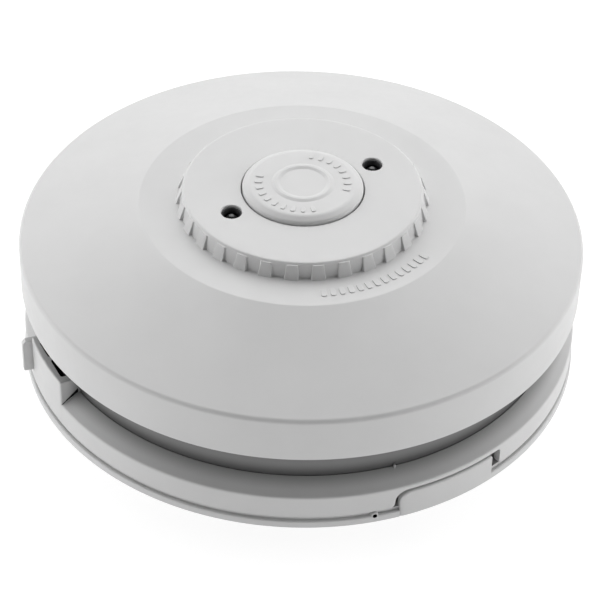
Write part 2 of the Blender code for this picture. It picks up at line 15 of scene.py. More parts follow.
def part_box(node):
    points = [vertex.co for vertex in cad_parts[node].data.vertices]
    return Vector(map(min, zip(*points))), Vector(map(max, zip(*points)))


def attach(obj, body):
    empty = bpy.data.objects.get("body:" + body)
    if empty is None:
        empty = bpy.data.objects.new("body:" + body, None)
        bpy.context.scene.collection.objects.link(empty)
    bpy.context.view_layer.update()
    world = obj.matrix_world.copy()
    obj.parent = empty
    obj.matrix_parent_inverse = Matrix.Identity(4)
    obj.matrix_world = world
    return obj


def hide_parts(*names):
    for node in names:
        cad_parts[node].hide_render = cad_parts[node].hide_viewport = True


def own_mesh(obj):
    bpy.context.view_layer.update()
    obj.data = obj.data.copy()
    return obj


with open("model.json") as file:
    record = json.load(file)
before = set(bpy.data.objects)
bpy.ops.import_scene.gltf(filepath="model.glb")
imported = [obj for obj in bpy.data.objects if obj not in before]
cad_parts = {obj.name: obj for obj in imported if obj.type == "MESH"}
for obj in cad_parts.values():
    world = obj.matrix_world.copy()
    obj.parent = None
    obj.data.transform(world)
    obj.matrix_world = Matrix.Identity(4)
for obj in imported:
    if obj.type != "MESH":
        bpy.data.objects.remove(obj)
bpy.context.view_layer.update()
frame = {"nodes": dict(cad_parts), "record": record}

MM = 0.001

# Driving dimensions, with the outer ones read from the frame
PLATE_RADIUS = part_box("mounting_plate")[1].y / MM
PLATE_THICKNESS = 2.2
STEP_TOP = 2.88
COVER_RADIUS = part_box("front_cover")[1].y / MM
SKIRT_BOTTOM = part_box("front_cover")[0].z / MM + 7.9
DISC_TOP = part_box("front_cover")[1].z / MM
BUTTON_TOP = 48.76
RIM_RADIUS = 69.75
RIM_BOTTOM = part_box("bayonet_ring")[0].z / MM
RIM_TOP = 9.4
DECK_RADIUS = 64.8
DECK_TOP = 12.2
FLOOR_BOTTOM = 12.0
FLOOR_TOP = 13.8
WALL_INNER = 63.2
WALL_TOP = 18.0
SEAL_RIB = (52.0, 54.0)
SEAL_RIB_BOTTOM = 10.4
RING_INNER = 62.2
RIM_INNER = 67.9
GAP = 0.3
SKIRT_TOP = 33.9
CONE_TOP_RADIUS = 40.2
CONE_TOP = 43.3
COVER_WALL = 2.0
WELL_FLOOR = 39.2
RIB_COUNT = 30
RIB_PHASE = 2.1
WELL_RADIUS = 15.2
LAMP_RADIUS_FROM_CENTRE = 20.0
LAMP_ANGLES = {"alarm": 31.4, "power": 211.4}
LAMP_HOLE_RADIUS = 2.55
BLOCK_ANGLE = 207.5
BLOCK_HALF_WIDTH = 9.35
BLOCK_TOP = 16.7
LATCH_ANGLE = 199.4
PANEL_ANGLES = (291.0, 312.3)
PANEL_TOP = 7.7
NOTCH_ANGLES = (290.0, 314.8)
NOTCH_TOP = 8.0
NIB_ANGLE = 291.0
NIB_HOLE_ANGLE = 285.9
HOOK_ANGLES = (30.0, 150.0, 270.0)
HOOK_LENGTH = 7.0
COVER_SCREW_ANGLES = (15.0, 135.0, 255.0)
COVER_SCREW_RADIUS = 58.8
BOARD_SCREW_ANGLES = (60.0, 180.0, 300.0)
BOARD_SCREW_RADIUS = 50.0
PIN_X = (-8.5, 0.0, 8.5)
PIN_Y = 29.0
SCREW_SLOT_X = 30.15
ROUND_HOLE_RADIUS = 38.0
ROUND_HOLE_ANGLES = (225.0, 315.0)
LOCATING_ARC = (65.9, 67.2)
LOCATING_ARC_ANGLES = ((50.0, 144.0), (170.0, 192.0), (206.0, 264.0), (318.0, 385.0))
ON_BOARD = 18.9
CHAMBER_CENTRE = (0.0, -28.0)
SOUNDER_CENTRE = (0.0, 26.5)
OPTICS_HEIGHT = 27.2

# Steps round the plate and the ring, and the angle that a turned solid starts at
FINE_ROUND = 250
SMALL_TURN = 7.0

# Camera and studio
CAMERA_AIM = (0.09, 0.0, 11.21)
CAMERA_DISTANCE = 595.0
CAMERA_ELEVATION = 40.047
CAMERA_ROLL = 1.6415
CAMERA_LENS = 139.97
BACK_LIGHT = 4.8
OVERHEAD_LIGHT = 2.15
SIDE_LIGHT = 5.35
TABLE_GLOW = 0.85
TABLE_HOLE_RADIUS = 69.0


# Curves and solids: a shape is (points, faces) in millimetres

def on_circle(radius, angle):
    turn = math.radians(angle)
    return radius * math.cos(turn), radius * math.sin(turn)


def spread(low, high, count):
    return [low + (high - low) * step / count for step in range(count + 1)]


def rounded(corners, arc_steps=4):
    """Closed outline of (x, y, corner radius), with each corner turned into an arc."""
    outline = []
    for place, (x, y, radius) in enumerate(corners):
        if radius == 0.0:
            outline.append((x, y))
            continue
        here = Vector((x, y))
        before = (Vector(corners[place - 1][:2]) - here).normalized()
        after = (Vector(corners[(place + 1) % len(corners)][:2]) - here).normalized()
        angle = before.angle(after)
        centre = here + (before + after).normalized() * radius / math.sin(angle / 2)
        reach = radius / math.tan(angle / 2)
        first = here + before * reach - centre
        last = here + after * reach - centre
        sweep = math.pi - angle
        for step in range(arc_steps + 1):
            share = step / arc_steps
            point = centre + (first * math.sin((1 - share) * sweep) + last * math.sin(share * sweep)) \
                / math.sin(sweep)
            outline.append(tuple(point))
    return outline


def rectangle(half_x, half_y, corner, centre=(0.0, 0.0), arc_steps=4):
    """Outline of a rectangle with rounded corners."""
    x, y = centre
    return rounded([(x - half_x, y - half_y, corner), (x + half_x, y - half_y, corner),
                    (x + half_x, y + half_y, corner), (x - half_x, y + half_y, corner)], arc_steps)


def spin(angle):
    return Matrix.Rotation(math.radians(angle), 4, "Z")


def skin(rings, closed=False):
    """Surface through rings of equally many points. An open run of rings gets two end caps."""
    size = len(rings[0])
    points = [tuple(point) for ring in rings for point in ring]
    faces = []
    for row in range(len(rings) if closed else len(rings) - 1):
        after = (row + 1) % len(rings)
        for place in range(size):
            up = (place + 1) % size
            faces.append((row * size + place, after * size + place, after * size + up, row * size + up))
    if not closed:
        last = (len(rings) - 1) * size
        faces += [tuple(range(size)), tuple(range(last, last + size))]
    return points, faces


def swept(sections):
    """Ring-shaped solid through (angle, outline) sections. An outline point is (radius, height) or
    (radius, height, extra angle)."""
    rings = []
    for angle, outline in sections:
        ring = []
        for point in outline:
            x, y = on_circle(point[0], angle + (point[2] if len(point) == 3 else 0.0))
            ring.append((x, y, point[1]))
        rings.append(ring)
    return skin(rings, closed=True)


def turned(outline, centre=(0.0, 0.0), steps=48):
    points, faces = swept([(SMALL_TURN + 360.0 * step / steps, outline) for step in range(steps)])
    return [(x + centre[0], y + centre[1], z) for x, y, z in points], faces


def prism(outline, low, high):
    return skin([[(x, y, low) for x, y in outline], [(x, y, high) for x, y in outline]])


def pillow_prism(outline, low, high, edge):
    """Prism whose top and bottom edges are rounded by pulling the outline in towards its middle."""
    middle = sum((Vector(point) for point in outline), Vector((0.0, 0.0))) / len(outline)
    rings = []
    for turn in spread(0.0, 90.0, 4):
        across, up = on_circle(edge, turn)
        rings.append((edge - up, low + edge - across))
    rings += [(inset, low + high - height) for inset, height in reversed(rings)]
    loops = []
    for inset, height in rings:
        loop = []
        for point in outline:
            away = Vector(point) - middle
            point_in = middle + away * (1 - inset / away.length)
            loop.append((*point_in, height))
        loops.append(loop)
    return skin(loops)


def rounded_box(size, centre, corner, edge):
    """Box standing along Z, with its upright edges rounded by corner and the others by edge."""
    outline = rectangle(size[0] / 2, size[1] / 2, corner, centre[:2])
    return pillow_prism(outline, centre[2] - size[2] / 2, centre[2] + size[2] / 2, edge)


def cylinder(radius, low, high, centre=(0.0, 0.0), edge=0.0, steps=48):
    outline = rounded([(0.0, low, 0.0), (radius, low, edge), (radius, high, edge), (0.0, high, 0.0)])
    return turned(outline, centre, steps)


def sector(inner, outer, start, end, low, high, edge=0.2):
    """Part of a ring between two angles."""
    across = rounded([(inner, low, edge), (outer, low, edge), (outer, high, edge), (inner, high, edge)], 2)
    rings = []
    for angle in spread(start, end, max(2, round((end - start) / 1.5))):
        rings.append([(*on_circle(radius, angle), height) for radius, height in across])
    return skin(rings)


def radial_bar(angle, near, far, half_width, low, high, shift=0.0, corner=0.25):
    """Straight bar along the radial line at the given angle, shifted sideways if asked."""
    corners = [(near, shift - half_width, corner), (far, shift - half_width, corner),
               (far, shift + half_width, corner), (near, shift + half_width, corner)]
    turn = Matrix.Rotation(math.radians(angle), 2)
    outline = [tuple(turn @ Vector(point)) for point in rounded(corners)]
    return prism(outline, low, high)


def coil(radius, wire, low, high, turns, centre=(0.0, 0.0)):
    """Round-wire spring standing on Z."""
    steps = int(turns * 40)
    rings = []
    for step in range(steps + 1):
        angle = 360.0 * turns * step / steps
        height = low + wire + (high - low - 2 * wire) * step / steps
        ring = []
        for swing in spread(0.0, 360.0, 12)[:-1]:
            out, up = on_circle(wire, swing)
            x, y = on_circle(radius + out, angle)
            ring.append((centre[0] + x, centre[1] + y, height + up))
        rings.append(ring)
    return skin(rings)


def placed(shape, matrix):
    points, faces = shape
    return [tuple(matrix @ Vector(point)) for point in points], faces


def lying(shape, centre, axis):
    """Shape built round the Z axis, laid along +X or +Y with its zero at the centre."""
    angle, about = (90.0, "Y") if axis == "X" else (-90.0, "X")
    return placed(shape, Matrix.Translation(Vector(centre)) @ Matrix.Rotation(math.radians(angle), 4, about))


def together(shapes):
    """Separate shapes as one."""
    points = []
    faces = []
    for more_points, more_faces in shapes:
        start = len(points)
        points += more_points
        faces += [tuple(start + corner for corner in face) for face in more_faces]
    return points, faces


def fresh_object(name, shape, material):
    """Mesh object of a shape, without doubled points or loose edges."""
    points, faces = shape
    mesh = bpy.data.meshes.new(name)
    mesh.from_pydata([Vector(point) * MM for point in points], [], faces)
    work = bmesh.new()
    work.from_mesh(mesh)
    bmesh.ops.remove_doubles(work, verts=work.verts, dist=0.0005 * MM)
    bmesh.ops.dissolve_degenerate(work, edges=work.edges, dist=0.0002 * MM)
    loose = [edge for edge in work.edges if not edge.link_faces]
    bmesh.ops.delete(work, geom=loose, context="EDGES")
    bmesh.ops.recalc_face_normals(work, faces=work.faces)
    work.to_mesh(mesh)
    work.free()
    item = bpy.data.objects.new(name, mesh)
    bpy.context.scene.collection.objects.link(item)
    mesh.materials.append(material)
    return item


def combine(item, operation, shapes, material=None):
    """Boolean some shapes that don't touch each other into the object, and apply it. The faces that
    they leave take the given material, if any."""
    tool = fresh_object("tool", together(shapes), material or item.data.materials[0])
    modifier = item.modifiers.new(operation, "BOOLEAN")
    modifier.operation = operation
    modifier.solver = "EXACT"
    modifier.material_mode = "TRANSFER"
    modifier.object = tool
    evaluated = item.evaluated_get(bpy.context.evaluated_depsgraph_get())
    mesh = bpy.data.meshes.new_from_object(evaluated)
    item.modifiers.clear()
    item.data = mesh
    bpy.data.objects.remove(tool, do_unlink=True)


def add(item, shapes, material=None):
    combine(item, "UNION", shapes, material)


def cut(item, shapes, material=None):
    combine(item, "DIFFERENCE", shapes, material)


def finish_piece(item, body, nodes, sharp=32.0):
    """Smooth shading, and the CAD body and nodes that the piece goes with. Edges that turn by more than the
    angle sharp stay sharp."""
    item.data.shade_smooth()
    item.data.set_sharp_from_angle(angle=math.radians(sharp))
    weighted = item.modifiers.new("weighted_normals", "WEIGHTED_NORMAL")
    weighted.keep_sharp = True
    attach(item, body)
    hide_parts(*nodes)
    return item


def fine_piece(name, body, slot, shape, additions=(), cuts=(), sharp=32.0):
    """Piece that stands for the CAD node of the same name. Additions and cuts are groups of shapes."""
    item = fresh_object(f"{name}_fine", shape, MATERIALS[slot])
    for group in additions:
        add(item, group)
    for group in cuts:
        cut(item, group)
    return finish_piece(item, body, [name], sharp)


# Materials

class Finish:
    """A new Principled material, with helpers for the nodes that give it its detail."""

    def __init__(self, name, roughness, metallic=0.0, **sockets):
        self.material = bpy.data.materials.new(name)
        self.material.use_nodes = True
        self.nodes = self.material.node_tree.nodes
        self.links = self.material.node_tree.links
        self.shader = self.nodes["Principled BSDF"]
        self.shader.inputs["Roughness"].default_value = roughness
        self.shader.inputs["Metallic"].default_value = metallic
        for socket, value in sockets.items():
            self.shader.inputs[socket.replace("_", " ")].default_value = value
        self.place = self.nodes.new("ShaderNodeTexCoord").outputs["Object"]

    def texture(self, kind, scale):
        """Texture node of a kind, whose pattern repeats scale times in a metre along each axis."""
        mapping = self.nodes.new("ShaderNodeMapping")
        mapping.inputs["Scale"].default_value = scale
        self.links.new(self.place, mapping.inputs["Vector"])
        node = self.nodes.new(kind)
        node.inputs["Scale"].default_value = 1.0
        self.links.new(mapping.outputs["Vector"], node.inputs["Vector"])
        return node

    def noise(self, grain, detail=3.0, stretch=(1.0, 1.0, 1.0)):
        """Noise whose features are about grain millimetres across, stretched along the axes."""
        noise = self.texture("ShaderNodeTexNoise", tuple(1.0 / (grain * MM * factor) for factor in stretch))
        noise.inputs["Detail"].default_value = detail
        return noise.outputs["Fac"]

    def mapped(self, source, low, high):
        """The source's middle range, mapped to low..high."""
        node = self.nodes.new("ShaderNodeMapRange")
        node.inputs["From Min"].default_value = 0.3
        node.inputs["From Max"].default_value = 0.7
        node.inputs["To Min"].default_value = low
        node.inputs["To Max"].default_value = high
        self.links.new(source, node.inputs["Value"])
        return node.outputs["Result"]

    def height(self):
        split = self.nodes.new("ShaderNodeSeparateXYZ")
        self.links.new(self.place, split.inputs["Vector"])
        return split.outputs["Z"]

    def radius(self):
        flat = self.nodes.new("ShaderNodeVectorMath")
        flat.operation = "MULTIPLY"
        flat.inputs[1].default_value = (1.0, 1.0, 0.0)
        self.links.new(self.place, flat.inputs[0])
        length = self.nodes.new("ShaderNodeVectorMath")
        length.operation = "LENGTH"
        self.links.new(flat.outputs["Vector"], length.inputs[0])
        return length.outputs["Value"]

    def painted_shade_fade(self, distance, low, high, darkest):
        """Painted shade: the colour's multiplier rises from darkest at low to 1 at high, in millimetres."""
        node = self.nodes.new("ShaderNodeMapRange")
        node.interpolation_type = "SMOOTHSTEP"
        node.inputs["From Min"].default_value = low * MM
        node.inputs["From Max"].default_value = high * MM
        node.inputs["To Min"].default_value = darkest
        node.inputs["To Max"].default_value = 1.0
        self.links.new(distance, node.inputs["Value"])
        mix = self.nodes.new("ShaderNodeVectorMath")
        mix.operation = "SCALE"
        self.links.new(self.shader.inputs["Base Color"].links[0].from_socket, mix.inputs[0])
        self.links.new(node.outputs["Result"], mix.inputs["Scale"])
        self.links.new(mix.outputs["Vector"], self.shader.inputs["Base Color"])
        return self

    def ramp(self, source, *stops):
        """Colour of the source by (position, colour) stops."""
        node = self.nodes.new("ShaderNodeValToRGB")
        elements = node.color_ramp.elements
        while len(elements) < len(stops):
            elements.new(0.5)
        for element, (position, colour) in zip(elements, stops):
            element.position = position
            element.color = (*colour, 1.0)
        self.links.new(source, node.inputs["Fac"])
        return node.outputs["Color"]

    def colour(self, source):
        self.links.new(source, self.shader.inputs["Base Color"])
        return self

    def roughness(self, source):
        self.links.new(source, self.shader.inputs["Roughness"])
        return self

    def bump(self, source, height, strength=1.0):
        """Bump whose full range is the given height in millimetres."""
        node = self.nodes.new("ShaderNodeBump")
        node.inputs["Strength"].default_value = strength
        node.inputs["Distance"].default_value = height * MM
        self.links.new(source, node.inputs["Height"])
        if self.shader.inputs["Normal"].is_linked:
            self.links.new(self.shader.inputs["Normal"].links[0].from_socket, node.inputs["Normal"])
        self.links.new(node.outputs["Normal"], self.shader.inputs["Normal"])
        return self


def near(colour, change):
    return tuple(max(0.0, min(1.0, channel * (1.0 + change))) for channel in colour)


def moulded_finish(name, colour, roughness, mottle=0.02, grain=0.25, height=0.004):
    """Injection-moulded plastic: faint flow mottling, and a fine spark-eroded surface."""
    finish = Finish(name, roughness)
    flow = finish.noise(18.0, 4.0)
    finish.colour(finish.ramp(flow, (0.3, near(colour, -mottle)), (0.7, near(colour, mottle))))
    finish.roughness(finish.mapped(finish.noise(2.5, 2.0), roughness - 0.05, roughness + 0.05))
    finish.bump(finish.noise(grain, 2.0), height)
    finish.bump(flow, 0.02, 0.3)
    return finish


def moulded(*settings):
    return moulded_finish(*settings).material


def ring_with_painted_shade(name, colour):
    """White plastic with painted shade, darker towards the deck's inner edge under the cover's skirt."""
    finish = moulded_finish(name, colour, 0.46)
    return finish.painted_shade_fade(finish.radius(), DECK_RADIUS, 68.4, 0.5).material


def wall_with_painted_shade(name, colour):
    """Dark grey plastic whose darkness is painted shade of the recess under the skirt, darker still towards
    the foot of its wall.
    """
    finish = moulded_finish(name, colour, 0.55)
    return finish.painted_shade_fade(finish.height(), DECK_TOP - 0.2, 16.2, 0.28).material


def plated(name, colour, roughness, stretch=(1.0, 8.0, 1.0)):
    """Metal with fine drawn lines and a few duller patches."""
    finish = Finish(name, roughness, 1.0)
    lines = finish.noise(0.25, 3.0, stretch)
    finish.colour(finish.ramp(finish.noise(3.0), (0.35, near(colour, -0.12)), (0.65, colour)))
    finish.roughness(finish.mapped(lines, roughness - 0.06, roughness + 0.14))
    finish.bump(lines, 0.003)
    return finish.material


def foam(name, colour):
    """Closed-cell foam: small pits between round cells."""
    finish = Finish(name, 0.9)
    cells = finish.texture("ShaderNodeTexVoronoi", (1.0 / (0.35 * MM),) * 3)
    finish.colour(finish.ramp(cells.outputs["Distance"], (0.1, near(colour, -0.4)), (0.6, colour)))
    finish.bump(cells.outputs["Distance"], 0.05)
    return finish.material


def laminate(name):
    """Board with a green mask, woven glass showing faintly, and paler tracks."""
    finish = Finish(name, 0.35, Coat_Weight=0.4)
    green = (0.015, 0.13, 0.05)
    tracks = finish.texture("ShaderNodeTexVoronoi", (1.0 / (3.2 * MM), 1.0 / (3.2 * MM), 0.0))
    tracks.feature = "DISTANCE_TO_EDGE"
    tracks.distance = "MANHATTAN"
    finish.colour(finish.ramp(tracks.outputs["Distance"], (0.0, near(green, 0.9)),
                              (0.09, near(green, 0.9)), (0.12, green)))
    finish.bump(tracks.outputs["Distance"], 0.02, 0.5)
    finish.bump(finish.noise(0.4, 1.0), 0.004)
    return finish.material


def sleeve(name, colour, roughness=0.35):
    """Shrink sleeve: glossy, with faint lengthwise pulls."""
    finish = Finish(name, roughness, Coat_Weight=0.3)
    pulls = finish.noise(1.2, 3.0, (1.0, 1.0, 6.0))
    finish.colour(finish.ramp(pulls, (0.3, near(colour, -0.1)), (0.7, near(colour, 0.1))))
    finish.bump(pulls, 0.02)
    return finish.material


def wound(name, colour):
    """Enamelled wire wound in close turns up the Z axis."""
    finish = Finish(name, 0.3, 0.8)
    waves = finish.nodes.new("ShaderNodeTexWave")
    waves.bands_direction = "Z"
    waves.inputs["Scale"].default_value = 1.0 / (0.35 * MM) / 20.0
    finish.links.new(finish.place, waves.inputs["Vector"])
    finish.colour(finish.ramp(waves.outputs["Fac"], (0.0, near(colour, -0.6)), (0.5, colour)))
    finish.bump(waves.outputs["Fac"], 0.12)
    return finish.material


def clear(name, colour, roughness, transmission=0.85):
    """See-through plastic, slightly wavy."""
    finish = Finish(name, roughness, Transmission_Weight=transmission, IOR=1.5)
    finish.colour(finish.ramp(finish.noise(1.5), (0.3, near(colour, -0.05)), (0.7, colour)))
    finish.bump(finish.noise(0.8, 1.0), 0.004)
    return finish.material


PALE_PLASTIC = (0.60, 0.60, 0.60)

MATERIALS = {
    "cover_white": moulded("cover_white", PALE_PLASTIC, 0.46),
    # The ring's deck carries painted shade, darker towards its inner edge under the skirt.
    "ring_white": ring_with_painted_shade("ring_white", PALE_PLASTIC),
    # This dark grey is painted shade standing in for the recess under the cover's skirt, with more painted
    # shade towards the wall's foot.
    "housing_grey": wall_with_painted_shade("housing_grey", (0.19, 0.19, 0.19)),
    "button_white": moulded("button_white", (0.61, 0.61, 0.61), 0.44),
    "plate_white": moulded("plate_white", PALE_PLASTIC, 0.5),
    "seal_foam": foam("seal_foam", (0.10, 0.10, 0.105)),
    "terminal_plastic": moulded("terminal_plastic", (0.50, 0.51, 0.48), 0.5),
    "resistor_ceramic": moulded("resistor_ceramic", (0.62, 0.60, 0.54), 0.6, 0.05, 0.3, 0.02),
    "board_laminate": laminate("board_laminate"),
    "chamber_black": moulded("chamber_black", (0.012, 0.012, 0.013), 0.6, 0.1, 0.4, 0.01),
    "chip_black": moulded("chip_black", (0.016, 0.016, 0.018), 0.5, 0.1, 0.3, 0.008),
    "screen_steel": plated("screen_steel", (0.55, 0.55, 0.56), 0.35),
    "fastener_steel": plated("fastener_steel", (0.60, 0.61, 0.62), 0.28),
    "contact_brass": plated("contact_brass", (0.76, 0.58, 0.27), 0.25),
    "clear_lens": clear("clear_lens", (0.82, 0.85, 0.9), 0.08),
    "smoked_plastic": clear("smoked_plastic", (0.03, 0.03, 0.032), 0.28, 0.2),
    "film_capacitor": moulded("film_capacitor", (0.62, 0.30, 0.04), 0.35, 0.06, 0.4, 0.008),
    "capacitor_sleeve": sleeve("capacitor_sleeve", (0.02, 0.03, 0.12)),
    "copper_winding": wound("copper_winding", (0.70, 0.30, 0.14)),
    "varistor_coat": sleeve("varistor_coat", (0.03, 0.10, 0.36), 0.4),
    "cell_sleeve": sleeve("cell_sleeve", (0.42, 0.44, 0.47)),
}


def paint_cad_nodes():
    """Every CAD node takes its slot's finish. The ones that a fine piece replaces are hidden later."""
    for subpart in frame["record"]["subparts"]:
        node = frame["nodes"][subpart["node"]]
        node.data.materials.clear()
        node.data.materials.append(MATERIALS[subpart["material_slot"]])


# Front cover

RIB_FOOT_HALF = 3.2
RIB_TOP_HALF = 2.5
RIB_EDGE = 0.22
RIB_HEIGHT_TOP = 46.7


def rib_columns():
    """(angle from the rib's middle, share of the rib's stand-out) across one rib and its valleys."""
    half = 180.0 / RIB_COUNT
    side = [(half, 0.0), (4.8, 0.0), (RIB_FOOT_HALF + RIB_EDGE, 0.0), (RIB_FOOT_HALF + 0.06, 0.25),
            (RIB_FOOT_HALF - 0.08, 0.85), (RIB_FOOT_HALF - RIB_EDGE - 0.1, 1.0), (1.6, 1.0)]
    return [(-angle, share) for angle, share in side[:-1]] + [(-1.6, 1.0), (0.0, 1.0)] + [
        (angle, share) for angle, share in reversed(side[1:])]


def cover_section(angle, share):
    """Outline of the cover at one angle from a rib's middle. Its disc wall leans and stands out there."""
    lean = RIB_FOOT_HALF - RIB_TOP_HALF
    fade = min(abs(angle) / RIB_FOOT_HALF, (180.0 / RIB_COUNT - abs(angle)) / (
        180.0 / RIB_COUNT - RIB_FOOT_HALF), 1.0)
    shift = -math.copysign(lean * max(0.0, fade), angle)
    foot = 30.3 + 0.8 * share
    top = 29.62 + 0.22 * share
    under = CONE_TOP - COVER_WALL - 0.2
    inner = [(2.8, WELL_FLOOR - 1.4, 0.0), (WELL_RADIUS + 1.4, WELL_FLOOR - 1.4, 0.3),
             (WELL_RADIUS + 1.4, DISC_TOP - COVER_WALL, 0.4), (27.6, DISC_TOP - COVER_WALL, 0.4),
             (28.2, under, 0.4), (CONE_TOP_RADIUS - 0.6, under, 1.0),
             (67.0, SKIRT_TOP - 2.7, 1.0), (68.3, SKIRT_TOP - 4.3, 0.8), (68.3, SKIRT_BOTTOM, 0.25)]
    outer = [(COVER_RADIUS, SKIRT_BOTTOM, 0.35), (COVER_RADIUS, SKIRT_TOP, 1.3),
             (CONE_TOP_RADIUS, CONE_TOP, 1.6)]
    middle = [(point[0], point[1], 0.0) for point in rounded(inner + outer + [
        (31.4, CONE_TOP, 0.0), (26.0, CONE_TOP + 3.0, 0.0)], 5)[:-1]]
    middle[-1] = (31.4, CONE_TOP, 0.0)
    wall = [(foot + 0.12, CONE_TOP, 0.0)]
    low = CONE_TOP + 0.15
    for part in (0.0, 0.3, 0.6, 1.0):
        wall.append((foot + (top - foot) * part, low + (RIB_HEIGHT_TOP - low) * part, shift * part))
    crown = [(29.5, RIB_HEIGHT_TOP + 0.08, shift), (29.38, RIB_HEIGHT_TOP + 0.28, shift),
             (29.18, RIB_HEIGHT_TOP + 0.44, shift), (28.9, DISC_TOP, shift * 0.8), (27.8, DISC_TOP, 0.0),
             (22.6, DISC_TOP, 0.0), (17.4, DISC_TOP, 0.0)]
    well = [(point[0], point[1], 0.0) for point in rounded([
        (17.4, DISC_TOP, 0.0), (WELL_RADIUS, DISC_TOP, 0.3), (WELL_RADIUS, WELL_FLOOR, 0.5),
        (2.8, WELL_FLOOR, 0.0)])[1:]]
    return middle + wall + crown + well


def raised_bars(angles, near, far, half, corner, surface):
    """Row of plain raised bars, each a little wider and rounder at its far end."""
    corners = [(near, -half, corner), (far, -half - 0.1, corner + 0.05), (far, half + 0.1, corner + 0.05),
               (near, half, corner)]
    bar = pillow_prism(rounded(corners, 3), surface - 0.6, surface + 0.2, 0.12)
    return [placed(bar, spin(angle)) for angle in angles]


def build_front_cover():
    sections = []
    for rib in range(RIB_COUNT):
        middle = RIB_PHASE + rib * 360.0 / RIB_COUNT
        sections += [(middle + angle, cover_section(angle, share)) for angle, share in rib_columns()]
    boss = rounded([(1.5, 14.1, 0.2), (2.9, 14.1, 0.2), (2.9, 35.9, 0.0), (1.5, 35.9, 0.0)])
    bosses = [turned(boss, on_circle(COVER_SCREW_RADIUS, angle), 32) for angle in COVER_SCREW_ANGLES]
    marks = raised_bars(spread(279.0, 325.0, 13), 34.6, 37.2, 0.6, 0.45, CONE_TOP)
    hole = rounded([(0.0, 42.0, 0.0), (LAMP_HOLE_RADIUS, 42.0, 0.0), (LAMP_HOLE_RADIUS, DISC_TOP - 0.2, 0.1),
                    (LAMP_HOLE_RADIUS + 0.4, DISC_TOP + 0.2, 0.0), (0.0, DISC_TOP + 0.2, 0.0)])
    holes = [turned(hole, on_circle(LAMP_RADIUS_FROM_CENTRE, angle)) for angle in LAMP_ANGLES.values()]
    fine_piece("front_cover", "head", "cover_white", swept(sections), [bosses + marks], [holes])


# Button

def build_test_button():
    radius = WELL_RADIUS - 0.3
    outline = [(0.0, 24.2, 0.0), (2.3, 24.2, 0.4), (2.3, 44.6, 0.3), (13.4, 44.6, 0.3), (13.4, 42.4, 0.2),
               (radius, 42.4, 0.3), (radius, BUTTON_TOP - 0.9, 0.9), (13.0, BUTTON_TOP, 2.6),
               (7.75, BUTTON_TOP, 0.5), (6.95, BUTTON_TOP + 0.28, 0.5), (6.35, BUTTON_TOP + 0.28, 0.5),
               (5.55, BUTTON_TOP, 0.5), (0.0, BUTTON_TOP, 0.0)]
    angles = spread(-12.0, 80.0, 7) + spread(168.0, 284.0, 9)
    fine_piece("test_button", "button", "button_white", turned(rounded(outline, 6), steps=180),
               [raised_bars(angles, 9.9, 11.9, 0.5, 0.4, BUTTON_TOP)], (), 40.0)


def build_button_spring():
    """Coil spring under the button, on a mesh of its own."""
    low, high = 39.5, 43.6
    spring = fine_piece("button_spring", "head", "fastener_steel", coil(4.4, 0.35, low, high, 3))
    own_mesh(spring)


# Lamps

def build_lamps():
    """LED on the board, light pipe above it, and a dark collar in the cover's hole."""
    dome = rounded([(0.0, 21.0, 0.0), (1.5, 21.0, 0.2), (1.72, 43.8, 0.0), (1.72, 45.0, 1.15),
                    (0.62, 46.15, 0.6), (0.0, 46.2, 0.0)], 5)
    collar = rounded([(1.85, 42.4, 0.1), (2.48, 42.4, 0.1), (2.48, 46.5, 0.1), (2.2, 46.5, 0.1),
                      (1.85, 45.6, 0.1)])
    for role, angle in LAMP_ANGLES.items():
        x, y = on_circle(LAMP_RADIUS_FROM_CENTRE, angle)
        fine_piece(f"{role}_led", "head", "clear_lens",
                   rounded_box((3.2, 2.0, 1.6), (x, y, ON_BOARD + 0.8), 0.2, 0.15))
        fine_piece(f"{role}_light_pipe", "head", "smoked_plastic", turned(dome, (x, y)), (), (), 50.0)
        ring = fresh_object(f"{role}_lamp_collar", turned(collar, (x, y)), MATERIALS["chip_black"])
        ring.data.shade_smooth()
        ring.data.set_sharp_from_angle(angle=math.radians(40.0))
        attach(ring, "head")


# Rear housing

def feature_columns(start, end, base, level, base_round, level_round):
    """(angle, height) pairs along an opening's edge, from the base up to its level and back again.

    The two rounds are the radii of the corners at the base and at the level, first for the start.
    """
    width = math.radians(end - start) * RIM_RADIUS
    path = rounded([(-4.0, base, 0.0), (0.0, base, base_round[0]), (0.0, level, level_round[0]),
                    (width, level, level_round[1]), (width, base, base_round[1]),
                    (width + 4.0, base, 0.0)], 8)
    columns = []
    for along, height in path:
        angle = start + math.degrees(along / RIM_RADIUS)
        if columns:
            angle = max(angle, columns[-1][0] + 0.01)
        if columns and angle - columns[-1][0] > 1.5:
            gap_start, gap_height = columns[-1]
            count = math.ceil((angle - gap_start) / 1.5)
            columns += [(gap_start + (angle - gap_start) * step / count,
                         gap_height + (height - gap_height) * step / count) for step in range(1, count)]
        columns.append((angle, height))
    return columns


def ring_section(rim_bottom):
    """Outline of the bayonet ring where its rim ends at the given height."""
    under = max(8.0, rim_bottom)
    inside = rim_bottom + 0.25 if under > rim_bottom + 0.3 else under
    return rounded([
        (RING_INNER, FLOOR_BOTTOM - GAP, 0.0), (RING_INNER, 10.6, 0.2), (64.0, 9.9, 0.3),
        (RIM_INNER, under, 0.0), (RIM_INNER, inside, 0.0), (RIM_INNER + 0.1, rim_bottom + 0.08, 0.0),
        (RIM_INNER + 0.25, rim_bottom, 0.0),
        (69.35, rim_bottom, 0.0), (69.55, rim_bottom + 0.06, 0.0), (69.69, rim_bottom + 0.2, 0.0),
        (RIM_RADIUS, rim_bottom + 0.4, 0.0), (RIM_RADIUS, RIM_TOP, 0.75),
        (DECK_RADIUS + 0.12, DECK_TOP, 0.05), (DECK_RADIUS + 0.12, FLOOR_BOTTOM - GAP, 0.0)], 5)


